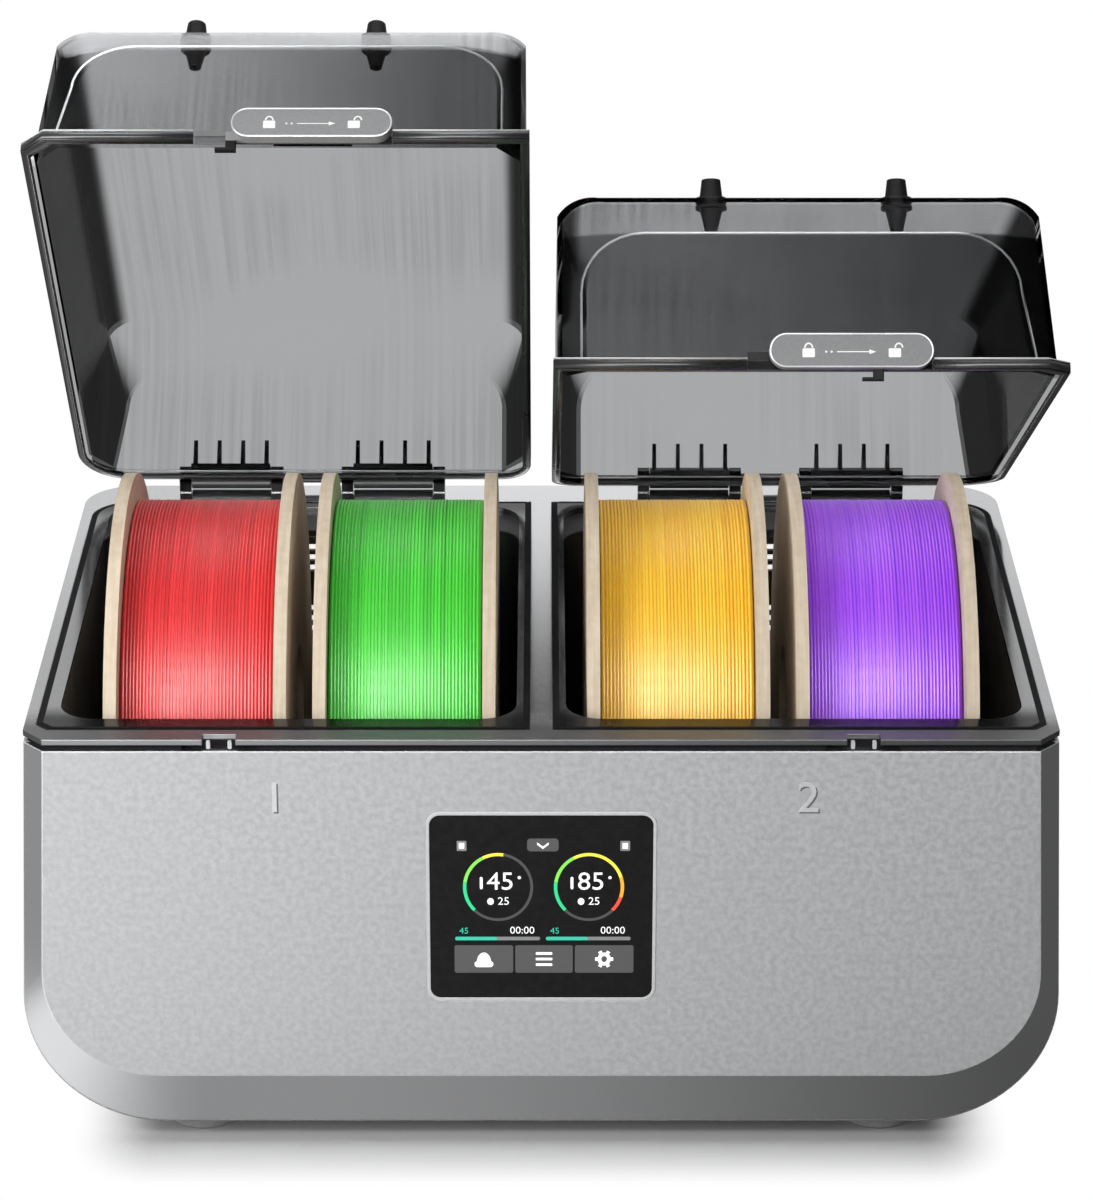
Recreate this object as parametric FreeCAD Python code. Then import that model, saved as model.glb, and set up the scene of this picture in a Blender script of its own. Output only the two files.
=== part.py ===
"""Twin-chamber filament dryer box: four spools on rollers under two hinged, latched lids.

Millimetres. X runs across the front, Y from the front face to the back, Z up from the floor.
"""
import FreeCAD
import Part
import math
import os

from FreeCAD import Vector as V

# Housing
REAR_DEPTH = 47.0
FOOT_HEIGHT = 10.0
FOOT_RADIUS = 15.0
FOOT_INSET_X = 62.0
FOOT_INSET_Y = 36.0
WALL = 2.6
DRAFT = 7.5
LOWER_CORNER_R = 54.0
REAR_CORNER_R = 22.0
BEVEL_SIDE = 8.0
BEVEL_DEPTH = 9.0
BEVEL_BOTTOM = 25.0
PANEL_CORNER_R = 43.0
PANEL_WALL = 2.5

# Top frame, its gasket and the lid seals
FRAME_T = 2.2
SEAM_H = 2.6
SEAM_INSET = 1.5
SEAM_WIDTH = 4.5
SEAL_W = 1.6
SEAL_DEPTH = 1.2
SEAL_INSET = 5.2
SEAL_FRONT = 10.0
SEAL_CENTRE = 5.1
SEAL_CHAMFER = 4.6

# Chambers
LEDGE = 11.9
CENTRE_HALF = 9.3
CHAMBER_FRONT = 19.0
CHAMBER_CORNER_R = 14.0
SHELF_DEPTH = 21.0
LINER_WALL = 2.0
LINER_FLANGE = 2.5
LINER_FLOOR_GAP = 15.0
LINER_OUTER_CORNER_R = 36.0
LINER_INNER_CORNER_R = 12.0

# Spools, rollers and filament
SPOOL_R = 97.0
SPOOL_WIDTH = 70.0
FLANGE_T = 5.0
HUB_R = 45.0
SPOOL_BORE_R = 27.5
SPOOL_GAP = 10.1
SPOOL_INNER_GAP = 8.3
SPOOL_OUTER_GAP = 16.4
SPOOL_FRONT_GAP = 1.5
SPOOL_BACK_GAP = 8.5
SPOOL_FLOOR_GAP = 10.9
SPOOL_DROP = 40.5
FILAMENT_D = 2.85
FILAMENT_GAP = 0.6
WINDING_MARGIN = 2.4
WINDING_DROP = 10.5
CORE_END_GAP = 0.4
ROLLER_R = 9.0
ROLLER_REACH = 2.0
ROLLER_ANGLE = 33.0
STUB_R = 3.0
STUB_LENGTH = 3.0
BLOCK_T = 3.4
BLOCK_DEPTH = 16.0
BLOCK_TOP = 6.0
CRADLE_T = 2.0
WEB_T = 4.0
WEB_REACH = 22.0
WEB_DROP = 4.0
WEB_GAP = 1.5

# Screen
SCREEN_W = 87.6
SCREEN_H = 80.0
SCREEN_DROP = 30.0
SCREEN_R = 5.4
BEZEL_W = 1.2
BEZEL_DEPTH = 5.0
BEZEL_PROUD = 0.3
GLASS_T = 1.5
DISPLAY_T = 4.0
DISPLAY_MARGIN = 3.0
BOARD_T = 1.6
BOARD_W = 80.0
BOARD_H = 66.0
BOARD_STANDOFF = 3.0

# Rear compartment
FAN_SIZE = 60.0
FAN_T = 15.0
FAN_RIM = 2.5
FAN_BLADE_GAP = 0.8
FAN_HUB_R = 12.0
FAN_BLADES = 7
FAN_BLADE_T = 1.2
FAN_PIN_R = 1.5
FAN_Z = 80.0
HEATER_T = 12.0
HEATER_FINS = 9
AIR_SLOTS = 6
AIR_SLOT_W = 4.0
AIR_SLOT_H = 44.0
VENT_SLOTS = 9
VENT_SLOT_W = 3.0
VENT_SLOT_H = 40.0
VENT_PITCH = 6.0
GRILLE_W = 64.0
GRILLE_H = 50.0
GRILLE_T = 2.0
GRILLE_TOP_DROP = 3.0
GRILLE_SLOT_W = 44.0
GRILLE_SLOT_H = 2.8
GRILLE_SLOT_PITCH = 4.7
GRILLE_ROW_DROP = (8.0, 36.0)
DESICCANT_T = 12.0
SENSOR_W = 14.0
SENSOR_H = 10.0
SENSOR_T = 4.0
SENSOR_GAP = 16.0
SUPPLY_W = 110.0
SUPPLY_H = 80.0
INLET_INSET = 46.0
INLET_Z = 46.0
INLET_W = 27.4
INLET_H = 19.8
INLET_DEPTH = 20.0
INLET_FLANGE = 4.0
INLET_FLANGE_T = 2.5
SWITCH_SPACE = 54.0
SWITCH_W = 13.0
SWITCH_H = 19.0
SWITCH_DEPTH = 14.0
SWITCH_TILT = 8.0
ACCESS_W = 150.0
ACCESS_D = 90.0
ACCESS_LIP = 6.0
ACCESS_T = 1.3
SCREW_R = 1.5
SCREW_HEAD_R = 3.0
SCREW_HEAD_T = 1.6
SCREW_INSET = 3.0

# Lids
LID_HEAD = 16.6
LID_WALL = 2.0
LID_LIFT = 0.4
LID_CENTRE_GAP = 4.6
LID_OVERHANG = 1.6
LIP_T = 4.0
LIP_FRONT = 0.5
LIP_OUT = 3.6
LIP_IN = 1.4
LIP_DEPTH = 4.0
LIP_CHAMFER = 9.0
LID_REAR_GAP = 7.0
LID_SIDE_SLOPE = 4.5
LID_CORNER_W = 16.0
LID_CORNER_H = 8.0
LID_CORNER_SAG = 0.16
LID_CREASE_R = 24.0
LID_BEVEL_SIDE = 9.0
LID_BEVEL_TOP = 17.2
LID_BEVEL_DEPTH = 11.2
LID_LEAN = 0.25
LID_INNER_R = 12.0
LID_LEFT_OPEN = 50.45
LID_RIGHT_OPEN = 30.4

# Hinges
HINGE_INSET = 4.0
HINGE_RISE = 5.0
HINGE_PIN_R = 2.0
KNUCKLE_R = 4.5
LEAF_W = 34.0
LEAF_SPREAD = (-37.1, 32.9)
LEAF_H = 14.0
LEAF_T = 2.4
BAR_H = 2.5
EAR_W = 5.0
RIB_COUNT = 4
RIB_PITCH = 10.2
RIB_T = 1.7

# Latches
PILL_W = 61.0
PILL_H = 13.0
PILL_PROUD = 1.0
PILL_RISE = 0.4
PILL_OFFSET = 14.2
LATCH_TRAVEL = 8.0
NECK_W = 20.0
NECK_H = 4.0
PLATE_W = 30.0
PLATE_H = 9.0
PLATE_T = 1.5
KEEPER_SHIFT = 20.3
KEEPER_W = 12.6
KEEPER_DEPTH = 5.2
HOOK_W = 4.0
HOOK_T = 2.2
HOOK_FOOT = 4.0
HOOK_FOOT_T = 1.2
HOOK_UNLOCKED = 4.0

# Filament outlets
OUTLET_SPREAD = (-36.1, 34.9)
OUTLET_SETBACK = 6.8
OUTLET_R = 4.6
OUTLET_CAP_H = 8.4
OUTLET_RING_R = 6.0
OUTLET_RING_T = 1.2
OUTLET_NOZZLE_R = 2.4
OUTLET_NOZZLE_L = 10.0
OUTLET_BORE_R = 1.2

# Clearances
SLIDE_GAP = 0.25
RUN_GAP = 0.05
ROLL_GAP = 0.3
END_GAP = 0.3

# Levels and faces worked out from the sizes above
SPOOL_PITCH = SPOOL_WIDTH + SPOOL_GAP
ROLLER_LENGTH = SPOOL_WIDTH + ROLLER_REACH
FAN_BORE_R = FAN_SIZE / 2 - FAN_RIM
FILAMENT_PITCH = FILAMENT_D + FILAMENT_GAP
FILAMENT_LOOPS = round((SPOOL_WIDTH - 2 * FLANGE_T - 2 * WINDING_MARGIN) / FILAMENT_PITCH)
SPOOL_INNER_X = CENTRE_HALF + SPOOL_INNER_GAP + SPOOL_WIDTH / 2
SPOOL_Y = CHAMBER_FRONT + SPOOL_FRONT_GAP + SPOOL_R
WINDING_R = SPOOL_R - WINDING_DROP
CHAMBER_OUT = SPOOL_INNER_X + SPOOL_PITCH + SPOOL_WIDTH / 2 + SPOOL_OUTER_GAP
CHAMBER_BACK = SPOOL_Y + SPOOL_R + SPOOL_BACK_GAP
CHAMBER_DEPTH = CHAMBER_BACK - CHAMBER_FRONT
HALF = CHAMBER_OUT + LEDGE
DEPTH = CHAMBER_BACK + REAR_DEPTH
FLOOR_TOP = FOOT_HEIGHT + WALL
LINER_FLOOR = FLOOR_TOP + LINER_FLOOR_GAP + LINER_WALL
SPOOL_Z = LINER_FLOOR + SPOOL_FLOOR_GAP + SPOOL_R
RIM_Z = SPOOL_Z + SPOOL_DROP
BODY_HEIGHT = RIM_Z - FOOT_HEIGHT
FRAME_BOTTOM = RIM_Z - FRAME_T
SHELL_TOP = FRAME_BOTTOM - SEAM_H
SHELF_BACK = CHAMBER_BACK + SHELF_DEPTH
LINER_BACK = CHAMBER_BACK + LINER_WALL
FAN_X = (CENTRE_HALF + CHAMBER_OUT) / 2
SENSOR_X = FAN_X + GRILLE_W / 2 + SENSOR_GAP + SENSOR_W / 2
INLET_X = HALF - INLET_INSET
SWITCH_X = INLET_X - SWITCH_SPACE
PIN_Y = DEPTH - HINGE_INSET
PIN_Z = RIM_Z + HINGE_RISE
LID_HEIGHT = SPOOL_R - SPOOL_DROP + LID_HEAD
LID_BOTTOM = RIM_Z + LID_LIFT
LID_TOP = LID_BOTTOM + LID_HEIGHT
LID_OUT = HALF + LID_OVERHANG
LID_BACK = PIN_Y - LID_REAR_GAP
LID_CENTRE = (LID_CENTRE_GAP + LID_OUT) / 2
LEAF_X = [LID_CENTRE + shift for shift in LEAF_SPREAD]
OUTLET_X = [LID_CENTRE + shift for shift in OUTLET_SPREAD]
KEEPER_X = LID_CENTRE + KEEPER_SHIFT
WALL_FRONT = LIP_FRONT + LIP_DEPTH
WALL_BACK = LID_BACK - LIP_DEPTH
OUTLET_Y = WALL_FRONT + LID_BEVEL_DEPTH + LID_LEAN * LID_HEIGHT + OUTLET_SETBACK
SCREEN_Z = RIM_Z - SCREEN_DROP - SCREEN_H / 2
SIDES = {"left": -1, "right": 1}
OPEN_ANGLE = {"left": LID_LEFT_OPEN, "right": LID_RIGHT_OPEN}


def box(x_span, y_span, z_span):
    """Box between two values on each axis, in either order."""
    low = [min(span) for span in (x_span, y_span, z_span)]
    high = [max(span) for span in (x_span, y_span, z_span)]
    return Part.makeBox(high[0] - low[0], high[1] - low[1], high[2] - low[2], V(*low))


def centred_box(centre, size):
    """Box of a given size about its centre."""
    spans = [(centre[i] - size[i] / 2, centre[i] + size[i] / 2) for i in range(3)]
    return box(*spans)


def rod(start, direction, radius, length):
    """Cylinder from a start point along a direction."""
    return Part.makeCylinder(radius, length, V(*start), V(*direction))


def closed_wire(points, arcs):
    """Wire through points; arcs maps the index of a side to the point in the middle of its arc."""
    edges = []
    for index, start in enumerate(points):
        end = points[(index + 1) % len(points)]
        if index in arcs:
            edges.append(Part.Arc(V(*start), V(*arcs[index]), V(*end)).toShape())
        else:
            edges.append(Part.LineSegment(V(*start), V(*end)).toShape())
    return Part.Wire(edges)


def prism(wire, direction):
    """Solid from a flat wire pulled along a vector."""
    return Part.Face(wire).extrude(V(*direction))


def rounded_block(x_span, y_span, z_span, radius):
    """Box with its four upright edges rounded."""
    block = box(x_span, y_span, z_span)
    return block.makeFillet(radius, [edge for edge in block.Edges if upright(edge)])


def upright(edge):
    """True for an edge that runs along Z."""
    first, last = edge.Vertexes[0].Point, edge.Vertexes[-1].Point
    return abs(first.x - last.x) < 1e-6 and abs(first.y - last.y) < 1e-6


def facing_block(x_span, y_span, z_span, radius):
    """Box with the four edges that run along Y rounded."""
    block = box(x_span, y_span, z_span)
    edges = []
    for edge in block.Edges:
        first, last = edge.Vertexes[0].Point, edge.Vertexes[-1].Point
        if abs(first.x - last.x) < 1e-6 and abs(first.z - last.z) < 1e-6:
            edges.append(edge)
    return block.makeFillet(radius, edges)


def one_solid(shape):
    """The single solid in a cut or joined shape, with split faces merged."""
    shape = shape.removeSplitter()
    return shape.Solids[0] if len(shape.Solids) == 1 else shape


def cut_all(shape, tools):
    """Shape with every tool taken away."""
    return one_solid(shape.cut(tools))


def join(shapes):
    """Shapes fused into one."""
    return one_solid(shapes[0].multiFuse(shapes[1:]))


def sided(shape, side):
    """A piece made for the right half, mirrored for the left."""
    return shape if side > 0 else shape.mirror(V(0, 0, 0), V(1, 0, 0))


def front_wire(half, low, high, radius, y):
    """Front outline of the housing: sides that flare downwards into rounded lower corners."""
    flare = math.atan2(DRAFT, BODY_HEIGHT)
    centre_z = low + radius
    centre_x = half + (high - centre_z) * math.tan(flare) - radius / math.cos(flare)
    side = (centre_x + radius * math.cos(flare), centre_z + radius * math.sin(flare))
    bend = (flare - math.pi / 2) / 2
    middle = (centre_x + radius * math.cos(bend), centre_z + radius * math.sin(bend))
    points = [(-half, y, high), (-side[0], y, side[1]), (-centre_x, y, low),
              (centre_x, y, low), (side[0], y, side[1]), (half, y, high)]
    return closed_wire(points, {1: (-middle[0], y, middle[1]), 3: (middle[0], y, middle[1])})


def plan_wire(inset, z):
    """Plan outline of the housing: chamfered front corners, rounded rear corners."""
    half = HALF - inset
    front = inset
    back = DEPTH - inset
    radius = REAR_CORNER_R - inset
    leg = radius * (1 - math.sqrt(0.5))
    points = [(-half + BEVEL_SIDE, front, z), (half - BEVEL_SIDE, front, z),
              (half, front + BEVEL_DEPTH, z), (half, back - radius, z), (half - radius, back, z),
              (-half + radius, back, z), (-half, back - radius, z), (-half, front + BEVEL_DEPTH, z)]
    arcs = {3: (half - leg, back - leg, z), 5: (-half + leg, back - leg, z)}
    return closed_wire(points, arcs)


def seal_wire(grow, z):
    """Outline of a lid seal on the right half, grown or shrunk by an offset."""
    inner = SEAL_CENTRE - grow
    outer = HALF - SEAL_INSET + grow
    front = SEAL_FRONT - grow
    back = LID_BACK - SEAL_INSET - LIP_DEPTH + grow
    radius = REAR_CORNER_R - SEAL_INSET + grow
    leg = radius * (1 - math.sqrt(0.5))
    points = [(inner, front, z), (outer - SEAL_CHAMFER, front, z), (outer, front + SEAL_CHAMFER, z),
              (outer, back - radius, z), (outer - radius, back, z), (inner, back, z)]
    return closed_wire(points, {3: (outer - leg, back - leg, z)})


def seal_ring(side, grow, low, high):
    """Ring that follows a lid seal."""
    outer = prism(seal_wire(SEAL_W / 2 + grow, low), (0, 0, high - low))
    inner = prism(seal_wire(-SEAL_W / 2 - grow, low), (0, 0, high - low))
    return sided(outer.cut(inner), side)


def chamber_prism(grow, low, high, back=CHAMBER_BACK):
    """Plan of a chamber on the right half as an upright block."""
    return rounded_block((CENTRE_HALF - grow, CHAMBER_OUT + grow), (CHAMBER_FRONT - grow, back + grow),
                         (low, high), CHAMBER_CORNER_R + grow)


def chamber_section(grow):
    """Section of a chamber across the box, pulled from front to back, on the right half."""
    inner = CENTRE_HALF - grow
    outer = CHAMBER_OUT + grow
    low = LINER_FLOOR - grow
    high = FRAME_BOTTOM
    r_in = LINER_INNER_CORNER_R + grow
    r_out = LINER_OUTER_CORNER_R + grow
    leg_in = r_in * (1 - math.sqrt(0.5))
    leg_out = r_out * (1 - math.sqrt(0.5))
    y = CHAMBER_FRONT - grow
    points = [(inner, y, high), (inner, y, low + r_in), (inner + r_in, y, low),
              (outer - r_out, y, low), (outer, y, low + r_out), (outer, y, high)]
    arcs = {1: (inner + leg_in, y, low + leg_in), 3: (outer - leg_out, y, low + leg_out)}
    return prism(closed_wire(points, arcs), (0, CHAMBER_DEPTH + 2 * grow, 0))


def chamber_volume(grow):
    """Inside of a chamber, or the outside of its liner, on the right half."""
    return chamber_section(grow).common(chamber_prism(grow, LINER_FLOOR - grow, FRAME_BOTTOM))


def air_slots(x_centre, z_centre, count, width, height, pitch, y_span):
    """Row of upright slots through a wall."""
    slots = []
    for index in range(count):
        x = x_centre + (index - (count - 1) / 2) * pitch
        slots.append(box((x - width / 2, x + width / 2), y_span,
                         (z_centre - height / 2, z_centre + height / 2)))
    return slots


def screw_places():
    """Places of the screws that hold the access cover."""
    reach_x = ACCESS_W / 2 - SCREW_INSET
    reach_y = ACCESS_D / 2 - SCREW_INSET
    return [(sx * reach_x, DEPTH / 2 + sy * reach_y) for sx in (-1, 1) for sy in (-1, 1)]


def rounded_back(half, low, high, radius, front, back, back_radius):
    """Housing section pulled from front to back, with the edges round its back rounded."""
    body = prism(front_wire(half, low, high, radius, front), (0, back - front, 0))
    edges = []
    for edge in body.Edges:
        bounds = edge.BoundBox
        if bounds.YMin > back - 1 and bounds.ZMin < high - 1:
            edges.append(edge)
    return body.makeFillet(back_radius, edges)


def base_shell():
    """Sides, back and floor of the housing, open at the front and the top."""
    outer = rounded_back(HALF, FOOT_HEIGHT, SHELL_TOP, LOWER_CORNER_R, BEVEL_DEPTH, DEPTH, REAR_CORNER_R)
    inner = rounded_back(HALF - WALL, FLOOR_TOP, SHELL_TOP, LOWER_CORNER_R - WALL, 0, DEPTH - WALL,
                         REAR_CORNER_R - WALL)
    back = (DEPTH - 2 * WALL, DEPTH + WALL)
    tools = [inner]
    for side in SIDES.values():
        tools += air_slots(side * FAN_X, FAN_Z, VENT_SLOTS, VENT_SLOT_W, VENT_SLOT_H, VENT_PITCH, back)
    tools.append(inlet_block(SLIDE_GAP, back))
    tools.append(switch_block(SLIDE_GAP, back))
    tools.append(centred_box((0, DEPTH / 2, FOOT_HEIGHT),
                             (ACCESS_W - 2 * ACCESS_LIP, ACCESS_D - 2 * ACCESS_LIP, 4 * WALL)))
    tools.append(centred_box((0, DEPTH / 2, FOOT_HEIGHT),
                             (ACCESS_W + 2 * SLIDE_GAP, ACCESS_D + 2 * SLIDE_GAP, 2 * ACCESS_T)))
    for x, y in screw_places():
        tools.append(rod((x, y, FOOT_HEIGHT), (0, 0, 1), SCREW_R + RUN_GAP, 2 * WALL))
    return cut_all(outer, tools)


def inlet_block(grow, y_span):
    """Body of the mains inlet as a block through the back wall."""
    return box((INLET_X - INLET_W / 2 - grow, INLET_X + INLET_W / 2 + grow), y_span,
               (INLET_Z - INLET_H / 2 - grow, INLET_Z + INLET_H / 2 + grow))


def switch_block(grow, y_span):
    """Body of the mains switch as a block through the back wall."""
    return box((SWITCH_X - SWITCH_W / 2 - grow, SWITCH_X + SWITCH_W / 2 + grow), y_span,
               (INLET_Z - SWITCH_H / 2 - grow, INLET_Z + SWITCH_H / 2 + grow))


def front_panel():
    """Front cover: flat face with a bevel down both sides and along the bottom."""
    face_half = HALF - BEVEL_SIDE
    face_low = FOOT_HEIGHT + BEVEL_BOTTOM
    face = front_wire(face_half, face_low, SHELL_TOP, PANEL_CORNER_R, 0)
    rim = front_wire(HALF, FOOT_HEIGHT, SHELL_TOP, LOWER_CORNER_R, BEVEL_DEPTH)
    outer = Part.makeLoft([face, rim], True, True)
    inner_top = SHELL_TOP - PANEL_WALL
    inner_face = front_wire(face_half - PANEL_WALL, face_low + PANEL_WALL, inner_top,
                            PANEL_CORNER_R - PANEL_WALL, PANEL_WALL)
    inner_rim = front_wire(HALF - 2 * PANEL_WALL, FOOT_HEIGHT + 2 * PANEL_WALL, inner_top,
                           LOWER_CORNER_R - 2 * PANEL_WALL, BEVEL_DEPTH)
    inner = Part.makeLoft([inner_face, inner_rim], True, True)
    return cut_all(outer, [inner, screen_block(0, -WALL, BEVEL_DEPTH)])


def screen_block(inset, front, back):
    """Rounded block in the place of the screen, shrunk by an inset."""
    return facing_block((-SCREEN_W / 2 + inset, SCREEN_W / 2 - inset), (front, back),
                        (SCREEN_Z - SCREEN_H / 2 + inset, SCREEN_Z + SCREEN_H / 2 - inset),
                        SCREEN_R - inset)


def screen_pieces():
    """Screen frame, cover glass, display and the control board behind it."""
    ring = screen_block(0, -BEZEL_PROUD, BEZEL_DEPTH).cut(
        screen_block(BEZEL_W, -2 * BEZEL_PROUD, 2 * BEZEL_DEPTH))
    glass = screen_block(BEZEL_W, 0, GLASS_T)
    display = screen_block(DISPLAY_MARGIN, GLASS_T, GLASS_T + DISPLAY_T)
    board_front = GLASS_T + DISPLAY_T + BOARD_STANDOFF
    board = centred_box((0, board_front + BOARD_T / 2, SCREEN_Z), (BOARD_W, BOARD_T, BOARD_H))
    posts = []
    for sx in (-1, 1):
        for sz in (-1, 1):
            place = (sx * (BOARD_W / 2 - SCREW_HEAD_R - SCREW_INSET), board_front - BOARD_STANDOFF,
                     SCREEN_Z + sz * (BOARD_H / 2 - SCREW_HEAD_R))
            posts.append(rod(place, (0, 1, 0), SCREW_HEAD_R, BOARD_STANDOFF))
    chip = centred_box((0, board_front + 1.5 * BOARD_T, SCREEN_Z), (BOARD_W / 4, BOARD_T, BOARD_H / 3))
    return {"screen_frame": ring, "screen_glass": glass, "display_module": display,
            "control_board": join([board, chip] + posts)}


def top_frame():
    """Rim plate with both chamber openings, seal grooves, latch notches and hinge ears."""
    plate = prism(plan_wire(0, FRAME_BOTTOM), (0, 0, FRAME_T))
    tools = []
    ears = []
    for side in SIDES.values():
        tools.append(sided(chamber_prism(0, FRAME_BOTTOM - 1, RIM_Z + 1, SHELF_BACK), side))
        tools.append(seal_ring(side, 0, RIM_Z - SEAL_DEPTH, RIM_Z + 1))
        tools.append(box((side * KEEPER_X - KEEPER_W / 2, side * KEEPER_X + KEEPER_W / 2),
                         (-1, KEEPER_DEPTH), (FRAME_BOTTOM - 1, RIM_Z + 1)))
        ears += hinge_ears(side)
    body = cut_all(plate, tools)
    return join([body] + ears)


def hinge_ears(side):
    """Upright ears either side of each hinge leaf, bored for the pin."""
    ears = []
    for leaf_x in LEAF_X:
        for hand in (-1, 1):
            inner = leaf_x + hand * (LEAF_W / 2 + END_GAP)
            outer = inner + hand * EAR_W
            low = min(inner, outer)
            post = box((inner, outer), (PIN_Y - KNUCKLE_R, DEPTH - SEAM_INSET), (RIM_Z - FRAME_T / 2, PIN_Z))
            eye = rod((low, PIN_Y, PIN_Z), (1, 0, 0), KNUCKLE_R, EAR_W)
            trim = box((inner, outer), (PIN_Y - KNUCKLE_R, PIN_Y + KNUCKLE_R), (RIM_Z - FRAME_T, PIN_Z))
            bore = rod((low - 1, PIN_Y, PIN_Z), (1, 0, 0), HINGE_PIN_R, EAR_W + 2)
            ears.append(sided(join([post.common(trim), eye]).cut(bore), side))
    return ears


def housing_gasket():
    """Dark gasket between the housing and its rim plate, notched behind the latch keepers."""
    outer = prism(plan_wire(SEAM_INSET, SHELL_TOP), (0, 0, SEAM_H))
    inner = prism(plan_wire(SEAM_INSET + SEAM_WIDTH, SHELL_TOP), (0, 0, SEAM_H))
    tools = [inner]
    for side in SIDES.values():
        reach = KEEPER_W / 2 + LATCH_TRAVEL
        tools.append(box((side * KEEPER_X - reach, side * KEEPER_X + reach),
                         (-1, WALL_FRONT), (SHELL_TOP - 1, FRAME_BOTTOM + 1)))
    return cut_all(outer, tools)


def grille_box(grow, y_span):
    """Place of the desiccant cover in the back wall of a chamber, on the right half."""
    high = FRAME_BOTTOM - GRILLE_TOP_DROP + grow
    return box((FAN_X - GRILLE_W / 2 - grow, FAN_X + GRILLE_W / 2 + grow), y_span,
               (high - GRILLE_H - 2 * grow, high))


def chamber_liner(side):
    """Moulded tub that hangs from a flange under the rim plate, with a shelf behind it."""
    outer = chamber_volume(LINER_WALL)
    flange = chamber_prism(LINER_WALL + LINER_FLANGE, FRAME_BOTTOM - LINER_WALL, FRAME_BOTTOM, SHELF_BACK)
    back = (CHAMBER_BACK - WALL, LINER_BACK + WALL)
    pitch = 2 * AIR_SLOT_W
    tools = [chamber_volume(0), grille_box(SLIDE_GAP, back)]
    tools += air_slots(FAN_X, FAN_Z, AIR_SLOTS, AIR_SLOT_W, AIR_SLOT_H, pitch, back)
    return sided(cut_all(outer.fuse(flange), tools), side)


def desiccant_cover(side):
    """Slotted cover in the back wall of a chamber."""
    cover = grille_box(0, (CHAMBER_BACK, CHAMBER_BACK + GRILLE_T))
    tools = []
    for row in GRILLE_ROW_DROP:
        for index in range(3):
            z = FRAME_BOTTOM - row - index * GRILLE_SLOT_PITCH
            tools.append(centred_box((FAN_X, CHAMBER_BACK, z), (GRILLE_SLOT_W, 4 * GRILLE_T, GRILLE_SLOT_H)))
    return sided(cut_all(cover, tools), side)


def desiccant_pack(side):
    """Desiccant pack behind the slotted cover."""
    front = CHAMBER_BACK + GRILLE_T
    return sided(grille_box(0, (front, front + DESICCANT_T)), side)


def roller_places():
    """Offsets of the two rollers below a spool's centre."""
    reach = SPOOL_R + ROLLER_R + ROLL_GAP
    angle = math.radians(ROLLER_ANGLE)
    return [(hand * reach * math.sin(angle), -reach * math.cos(angle)) for hand in (-1, 1)]


def roller(x, row):
    """Roller with a stub shaft at each end."""
    dy, dz = roller_places()[row]
    y = SPOOL_Y + dy
    z = SPOOL_Z + dz
    start = x - ROLLER_LENGTH / 2
    body = rod((start, y, z), (1, 0, 0), ROLLER_R, ROLLER_LENGTH)
    shaft = rod((start - STUB_LENGTH, y, z), (1, 0, 0), STUB_R, ROLLER_LENGTH + 2 * STUB_LENGTH)
    return join([body, shaft])


def roller_cradle(side):
    """Floor plate with bored blocks that carry the roller stubs of one chamber."""
    spool_xs = [SPOOL_INNER_X, SPOOL_INNER_X + SPOOL_PITCH]
    reach = ROLLER_LENGTH / 2 + END_GAP
    low_x = spool_xs[0] - reach - BLOCK_T
    high_x = spool_xs[1] + reach + BLOCK_T
    spans = [(low_x, low_x + BLOCK_T), (spool_xs[0] + reach, spool_xs[1] - reach), (high_x - BLOCK_T, high_x)]
    floor = (LINER_FLOOR, LINER_FLOOR + CRADLE_T)
    front_y = SPOOL_Y + roller_places()[0][0]
    back_y = SPOOL_Y + roller_places()[1][0]
    pieces = [box((low_x, high_x), (front_y - BLOCK_DEPTH / 2, back_y + BLOCK_DEPTH / 2), floor)]
    tools = []
    for dy, dz in roller_places():
        y = SPOOL_Y + dy
        z = SPOOL_Z + dz
        tools.append(rod((low_x - 1, y, z), (1, 0, 0), STUB_R + RUN_GAP, high_x - low_x + 2))
        for span in spans:
            pieces.append(box(span, (y - BLOCK_DEPTH / 2, y + BLOCK_DEPTH / 2), (LINER_FLOOR, z + BLOCK_TOP)))
        inward = -math.copysign(1, dy)
        near = y + inward * (ROLLER_R + WEB_GAP)
        far = near + inward * WEB_T
        pieces.append(box((high_x - WEB_REACH, high_x), (near, far), (LINER_FLOOR, z - WEB_DROP)))
        pieces.append(box(spans[2], (y, far), (LINER_FLOOR, z - WEB_DROP)))
    whole = join(pieces).common(chamber_volume(0))
    return sided(cut_all(whole, tools), side)


def spool(x):
    """Card spool: hub tube between two round flanges."""
    start = x - SPOOL_WIDTH / 2
    hub = rod((start, SPOOL_Y, SPOOL_Z), (1, 0, 0), HUB_R, SPOOL_WIDTH)
    flanges = [rod((start, SPOOL_Y, SPOOL_Z), (1, 0, 0), SPOOL_R, FLANGE_T),
               rod((start + SPOOL_WIDTH - FLANGE_T, SPOOL_Y, SPOOL_Z), (1, 0, 0), SPOOL_R, FLANGE_T)]
    bore = rod((start - 1, SPOOL_Y, SPOOL_Z), (1, 0, 0), SPOOL_BORE_R, SPOOL_WIDTH + 2)
    return cut_all(join([hub] + flanges), [bore])


def arc_from(start, tangent, end):
    """Arc that leaves start along a tangent and reaches end."""
    chord = end - start
    along = V(chord).normalize()
    side = tangent - along * tangent.dot(along)
    angle = math.atan2(side.Length, tangent.dot(along))
    middle = (start + end) * 0.5 + V(side).normalize() * (chord.Length / 2 * math.tan(angle / 2))
    return Part.Arc(start, middle, end).toShape()


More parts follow.
